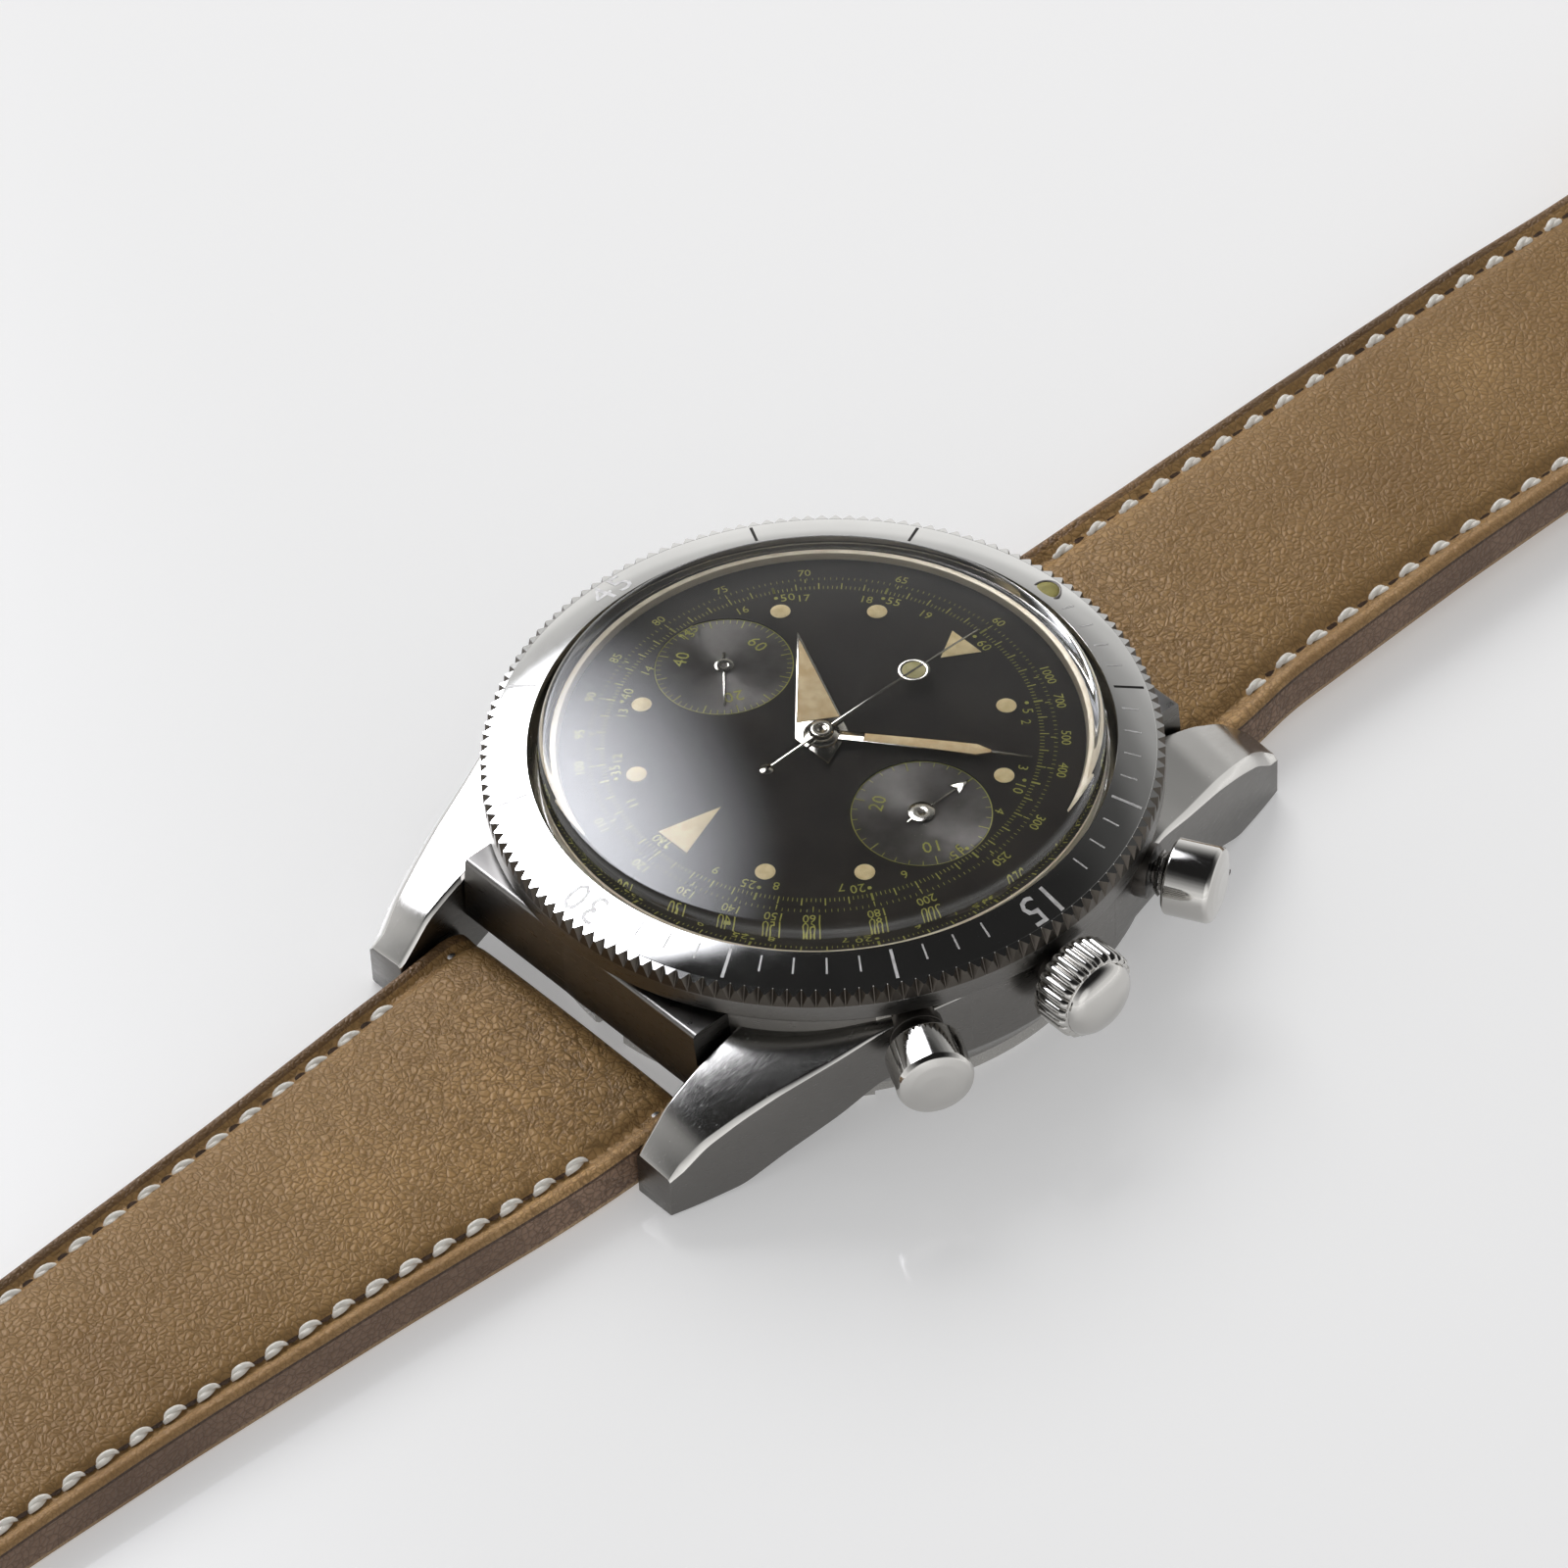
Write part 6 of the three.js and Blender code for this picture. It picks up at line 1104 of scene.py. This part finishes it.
# %% Shape of the two halves
BAR_Y, BAR_Z, END_R, PAD, LIFT = 21.1, 2.5, 1.9, 3.6, 1.25
BUCKLE_SHARES = [
    (0, 1.068, 0.27, 0.9, 1.02), (0.04, 1.062, 0.24, 0.88, 1.02), (0.1, 1.02, 0.75, 0.85, 1), (0.3, 1, 1, 0.85, 0.97),
    (0.55, 1, 1, 0.82, 0.9), (0.66, 1, 1, 0.7, 0.72), (1, 0.98, 1, 0.66, 0.66)]
TAIL_SHARES = [
    (0, 1.31, 0.3, 0.9, 1.02), (0.026, 1.303, 0.12, 0.86, 1.04), (0.07, 1.27, 0.02, 0.85, 1),
    (0.165, 1.153, 0.02, 0.85, 1), (0.234, 1.093, 0.02, 0.85, 0.98), (0.286, 1.047, 0.02, 0.84, 0.95),
    (0.38, 1, 0.02, 0.8, 0.86), (0.55, 1, 0.02, 0.66, 0.66), (0.92, 1, 0.02, 0.6, 0.6), (0.97, 1, 0.02, 0.58, 0.58),
    (1, 1, 0.02, 0.56, 0.56)]


class Half:
    """One half of the strap: where its top, bottom and edges are at a distance from the spring bar."""

    def __init__(self, shares, length, width, tip):
        self.length, self.tip = length, tip
        table = np.array(shares)
        self.places = np.linspace(0, 1, 401) * length
        read = [smoothed(np.interp(self.places / length, table[:, 0], table[:, column]), 60) for column in range(1, 5)]
        self.half, self.low, self.edge, self.pad = read[0] * width, read[1] * LIFT, read[2] * PAD, read[3] * PAD
        self.scale = min(1, width / 9.2)

    def at(self, values, s):
        return float(np.interp(s, self.places, values))

    def half_width(self, s):
        half = self.at(self.half, s)
        if self.tip and s > self.length - 9.5:
            share = (s - self.length + 9.5) / 9.5
            half *= math.sqrt(max(1 - share ** 2, 0))
        return half

    def rolled(self, height, s):
        """Places below 0 roll round the spring bar."""
        return BAR_Z + (height - BAR_Z) * math.sqrt(max(1 - (s / END_R) ** 2, 0)) if s < 0 else height

    def top(self, inset, s):
        """Height of the top at a distance in from the edge."""
        low, edge, pad, half = (self.at(v, s) for v in (self.low, self.edge, self.pad, self.half))
        inset = inset / self.scale
        dip = 0.13 * edge * max(0, min(1, (pad - edge) / 0.35 + 0.35))
        channel = -dip * math.exp(-((inset - 1.45) / 0.55) ** 2)
        pillow_share = max(0, min(1, (inset - 1.3) / (half / self.scale - 1.3)))
        pillow = max(pad - edge, 0) * (1 - (1 - pillow_share) ** 2.6)
        rounding = -0.3 * max(0, 1 - inset / 0.4) ** 2
        return self.rolled(low + edge + channel + pillow + rounding, s)

    def bottom(self, inset, s):
        return self.rolled(self.at(self.low, s) + 0.12 * max(0, 1 - inset / 0.35) ** 2, s)


def wrinkle(x, y, side):
    """Small height changes of the skin: a slow swell and short creases near the case."""
    slow = noise.noise(Vector((x * 0.35, y * 0.25, side)))
    near = max(0, 1 - (y - 20) / 16)
    crease = noise.noise(Vector((x * 0.55, y * 1.9, 5 + side)))
    return 0.03 * slow - 0.05 * near * max(0, crease) ** 1.5


buckle_half = Half(BUCKLE_SHARES, 73, 9.2, False)
tail_half = Half(TAIL_SHARES, 115, 7.5, True)

# %% The skin of a half
TOP_INSETS = [0, 0.05, 0.14, 0.28, 0.5, 0.75, 0.95, 1.1, 1.25, 1.4, 1.55, 1.7, 1.9, 2.15, 2.45, 2.8, 3.2, 3.7, 4.3,
              5.0, 5.8, 6.7, 7.6, 8.4]
RIM = 5  # faces from the edge inwards


def skin(name, half, side, stop, rows):
    """A closed tube over the half, from where it rolls round the spring bar."""
    places = [-END_R * math.sin(math.radians(a)) for a in (88, 80, 70, 60, 50, 40, 30, 20, 10)]
    places += list(np.linspace(0, stop, rows))
    points = []
    for s in places:
        y = BAR_Y + s
        width = max(half.half_width(max(s, 0)), 0.02)
        insets = [min(inset, width * (0.12 + 0.88 * inset / 8.4)) if width < 8.4 else inset for inset in TOP_INSETS]
        right_side = [(width - inset, half.top(inset, s) + wrinkle(width - inset, y, side)) for inset in insets]
        left_side = [(-x, half.top(width - x, s) + wrinkle(-x, y, side)) for x, _ in right_side[::-1]]
        crown_height = (0.0, half.top(width, s) + wrinkle(0, y, side))
        tops = right_side + [crown_height] + left_side
        low_left = [(-width + inset, half.bottom(inset, s)) for inset in (0, 0.1, 0.35, 2)]
        low_right = [(-x, z) for x, z in low_left[::-1]]
        high, low = half.top(0, s), half.bottom(0, s)
        wall_left = [(-width - 0.04 * math.sin(math.pi * t), high + (low - high) * t) for t in (0.08, 0.3, 0.6, 0.9)]
        wall_right = [(-x, z) for x, z in wall_left[::-1]]
        loop = tops + wall_left + low_left + low_right + wall_right
        points += [(x, y, max(z, 0.03)) for x, z in loop]
    count, last_top = len(loop), 2 * len(TOP_INSETS)
    materials = [calf, rim_painted_lit, rim_painted_shade, painted_edge, edge_line, lining]
    kind_of = [5] * count
    # The rim on the side nearer the lens takes the painted light copy, the far rim the painted shade copy.
    kind_of[:last_top] = [1] * RIM + [0] * (last_top - 2 * RIM) + [2] * RIM
    kind_of[last_top] = kind_of[-1] = 4
    kind_of[last_top + 1:last_top + 4] = kind_of[-4:-1] = [3] * 3
    faces = tube_faces(len(places) - 1, count) + cap_faces(len(points), count)
    return tidy_mesh(mesh_piece(name, points, faces, materials, kind_of * (len(places) - 1) + [3, 3]))


buckle_skin = skin("strap_buckle_skin", buckle_half, 1, 73.4, 330)
tail_skin = placed(skin("strap_tail_skin", tail_half, -1, 114.97, 470), Matrix.Diagonal((1, -1, 1, 1)))
print("strap skins:", len(buckle_skin.data.polygons), len(tail_skin.data.polygons), "faces")

# %% The fold round the buckle's bar, the slot for the tang and the holes
BUCKLE_BAR = (0, 94.1, 2.55)
fold = plate("fold", eased([(-0.9, 1.3), (0.6, 1.3), (1.3, 0.5), (1.3, -0.5), (0.6, -1.3), (-0.9, -1.3)], 0.7, 5, True),
             -9.0, 9.0, [calf], 0.12, 3)
placed(fold, shift(*BUCKLE_BAR) @ on_edge())
for piece in (buckle_skin, fold):
    cut_away(piece, box((2.7, 6.6, 9), (0, 95.1, 3)))
for number in range(7):
    place = (0, -110.1 + 6.5 * number)
    cut_away(tail_skin, drum("punch", 0.9, -1, 6, [hole_shade], 0, 32, place))
on_watch(fold, "strap_buckle_half", smooth=40)
on_watch(buckle_skin, "strap_buckle_half", "strap_buckle_side", 40)
on_watch(tail_skin, "strap_tail_half", "strap_tail_side", 40)

# %% [markdown]
# ## Stitches
# Saddle stitching leaves short fat stitches of two twisted strands, each sunk at its ends into an awl hole.
# One stitch is shaped from two twisted strands and repeated down each row, 2.6 mm apart. The crown's side of the
# tail half is sewn a little closer, as in the photograph.

# %% One stitch
PITCH, STITCH, ROW_INSET, CLOSER = 2.6, 1.62, 1.42, 0.885


def strand(phase):
    """One of the two strands of a stitch, blunt at its ends and sinking into the holes."""
    points = []
    rings, sides = 9, 6
    for ring_number in range(rings):
        share = ring_number / (rings - 1)
        swell = 0.62 + 0.38 * max(1 - abs(2 * share - 1) ** 4, 0) ** 0.5
        twist = phase + math.pi * 1.2 * share
        sink = 0.26 * abs(2 * share - 1) ** 3
        middle = (0.15 * math.cos(twist) * swell, STITCH * (share - 0.5), 0.11 * math.sin(twist) * swell + 0.09 - sink)
        for k in range(sides):
            angle = 2 * math.pi * k / sides
            points.append((middle[0] + 0.21 * swell * math.cos(angle), middle[1],
                           middle[2] + 0.18 * swell * math.sin(angle)))
    return points, tube_faces(rings - 1, sides) + cap_faces(len(points), sides)


def stitch_rows(name, half, side, first, last):
    """The stitches and the holes between them, along both edges of a half."""
    threads, holes = ([], []), ([], [])
    for edge in (1, -1):
        number, s = 0, first
        step = PITCH * CLOSER if edge > 0 > side else PITCH
        while s < last:
            x = edge * (half.half_width(s) - ROW_INSET)
            z = half.top(ROW_INSET, s)
            ahead = edge * (half.half_width(s + 0.5) - ROW_INSET)
            lean = math.atan2(ahead - x, 0.5) + edge * 0.10
            for phase in (0.4, 0.4 + math.pi):
                points, faces = strand(phase)
                start = len(threads[0])
                for px, py, pz in points:
                    across, along = px * math.cos(lean) + py * math.sin(lean), py * math.cos(lean) - px * math.sin(lean)
                    threads[0].append((x + across, side * (BAR_Y + s + along), z + pz))
                threads[1].extend(tuple(start + i for i in face) for face in faces)
            # Between the stitches lies a flat dark disc, painted shade of the awl hole.
            hole_s = s + step / 2
            hole_x = edge * (half.half_width(hole_s) - ROW_INSET)
            start, steps = len(holes[0]), 12
            height = half.top(ROW_INSET, hole_s) + 0.02
            holes[0].extend((hole_x + 0.26 * math.cos(2 * math.pi * k / steps),
                             side * (BAR_Y + hole_s + 0.4 * math.sin(2 * math.pi * k / steps)), height)
                            for k in range(steps))
            holes[0].append((hole_x, side * (BAR_Y + hole_s), height + 0.012))
            holes[1].extend((start + k, start + (k + 1) % steps, start + steps) for k in range(steps))
            number, s = number + 1, s + step
    thread_piece = tidy_mesh(mesh_piece(name + "_thread", threads[0], threads[1], [thread]), 0.0001)
    hole_piece = tidy_mesh(mesh_piece(name + "_holes", holes[0], holes[1], [hole_shade]), 0.0001)
    print(name, "last row:", number, "stitches")
    return thread_piece, hole_piece


for name, half, side, last, body in (
        ("strap_buckle", buckle_half, 1, 67, "strap_buckle_half"),
        ("strap_tail", tail_half, -1, 105, "strap_tail_half")):
    for piece in stitch_rows(name, half, side, 5.6, last):
        on_watch(piece, body, smooth=60)

# %% [markdown]
# ## Keepers
# Two loops of the same calf, folded and closed, with eased edges and a creased line along each side.

# %% Keepers
KEEPER_SECTION = [(0, 0.35), (0.12, 0.1), (0.35, 0), (0.75, 0), (0.85, 0.07), (0.95, 0), (2.5, 0), (4.05, 0),
                  (4.15, 0.07), (4.25, 0), (4.65, 0), (4.88, 0.1), (5, 0.35)]  # distance along, distance in
for name, body, near in (("keeper_fixed", "strap_buckle_half", 81.1), ("keeper_loose", "keeper_loose", 74.6)):
    outer = eased([(-10.6, 0), (10.6, 0), (10.6, 7.3), (-10.6, 7.3)], 1.5, 6, True)
    inner = eased([(-9.5, 1.1), (9.5, 1.1), (9.5, 6.2), (-9.5, 6.2)], 0.9, 6, True)
    points, faces, kinds = [], [], []
    count = len(outer)
    for y, out in KEEPER_SECTION:
        for x, z in outer:
            towards = np.array([-x, 3.65 - z])
            pull = towards / max(np.linalg.norm(towards), 1e-6) * out
            points.append((x + pull[0], near + y, z + pull[1]))
    for y in (5, 0):
        points += [(x, near + y, z) for x, z in inner]
    rows = len(KEEPER_SECTION) + 2
    for row in range(rows):
        for k in range(count):
            a, b = row * count + k, row * count + (k + 1) % count
            c, d = ((row + 1) % rows) * count + (k + 1) % count, ((row + 1) % rows) * count + k
            faces.append((a, b, c, d))
            kinds.append(2 if row == rows - 2 else 1 if row in (rows - 3, rows - 1) else 0)
    loop = tidy_mesh(mesh_piece(name + "_loop", points, faces, [calf, painted_edge, lining], kinds))
    on_watch(loop, body, name, 40)

# %% [markdown]
# ## Buckle
# A polished frame bent down a little towards the table, with a bar through its two arms and a tang on the bar.

# %% Buckle frame, bar and tang
TILT = shift(*BUCKLE_BAR) @ Matrix.Rotation(-math.radians(9), 4, "X") @ shift(0, 0, -1)
frame_outline = eased([(-11.25, -1.5), (-9.35, -1.5), (-9.35, 7.7), (9.35, 7.7), (9.35, -1.5), (11.25, -1.5),
                       (11.25, 9.6), (-11.25, 9.6)], 1.6, 8, True)
buckle_piece = plate("buckle_bow", frame_outline, 0, 2, [polished], 0.42, 5)
placed(buckle_piece, TILT)
on_watch(buckle_piece, "buckle", "buckle_frame", 35)
bar = turned("buckle_pin", [(0, -10.87), (0.75, -10.87), (0.75, 10.87), (0, 10.87)], [satin_steel_painted_shade], None, 48, 0.1,
             False)
placed(bar, shift(*BUCKLE_BAR) @ Matrix.Rotation(math.pi / 2, 4, "Y"))
on_watch(bar, "buckle", "buckle_bar")
tang_outline = eased([(0, 0.3), (1.85, 1.0), (2.1, 2.05), (9.65, 2.05), (9.65, 2.7), (8.6, 3.05), (0.9, 3.05),
                      (-0.9, 2.6), (-1.85, 1.2), (-1.7, 0.0), (-0.6, -0.8), (0.4, -0.85)], 0.35, 3, True)
tang_piece = plate("tang_blade", tang_outline, -0.85, 0.85, [polished], 0.22, 3)
placed(tang_piece, TILT @ on_edge())
on_watch(tang_piece, "tang", "buckle_tang", 35)

# %% Spring bars in the lugs
for number, side in enumerate((1, -1)):
    pin = turned(f"spring_bar_pin_{number}", [
        (0, -10.9), (0.42, -10.9), (0.42, -9.7), (0.75, -9.7), (0.75, 9.7), (0.42, 9.7), (0.42, 10.9), (0, 10.9)],
        [satin_steel_painted_shade], None, 40, 0.05, False)
    placed(pin, shift(0, side * BAR_Y, BAR_Z) @ Matrix.Rotation(math.pi / 2, 4, "Y"))
    on_watch(pin, "case", "spring_bar_12" if side > 0 else "spring_bar_6")

# %% [markdown]
# ## The movement
# The solids of the movement and the small hidden parts keep their shape and get the finish of the real ones:
# gilt wheels, frosted nickel plates and bridges, blued or plain steel levers and pinions, black gaskets.

# %% Finishes of the solids that stay
blued = steel_finish("blued_steel", srgb(58, 66, 96), 0.12, 0.25, (1, 6, 3), 0.05)
kept = {
    gilt: ["balance_wheel", "barrel", "center_wheel", "third_wheel", "fourth_wheel", "minute_wheel", "hour_wheel",
           "chrono_runner", "minute_recording_wheel", "transfer_wheel"],
    nickel: ["main_plate", "barrel_bridge", "train_bridge", "balance_cock", "chrono_bridge", "movement_ring"],
    polished: ["winding_stem", "winding_pinion", "sliding_pinion", "cannon_pinion", "escape_wheel", "pallet_fork",
               "column_wheel", "crown_wheel", "ratchet_wheel"],
    satin: ["operating_lever", "reset_hammer", "click", "bezel_click_spring", "pusher_spring_start",
            "pusher_spring_reset"],
    blued: ["hairspring"],
    black_rubber: ["case_back_gasket"],
}
for material, names in kept.items():
    for name in names:
        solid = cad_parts[name]
        solid.data.materials.clear()
        solid.data.materials.append(material)
untouched = [name for name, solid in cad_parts.items()
             if not solid.hide_render and not any(name in names for names in kept.values())]
print("solids without a finish:", untouched)

# %% Update the scene
bpy.context.view_layer.update()
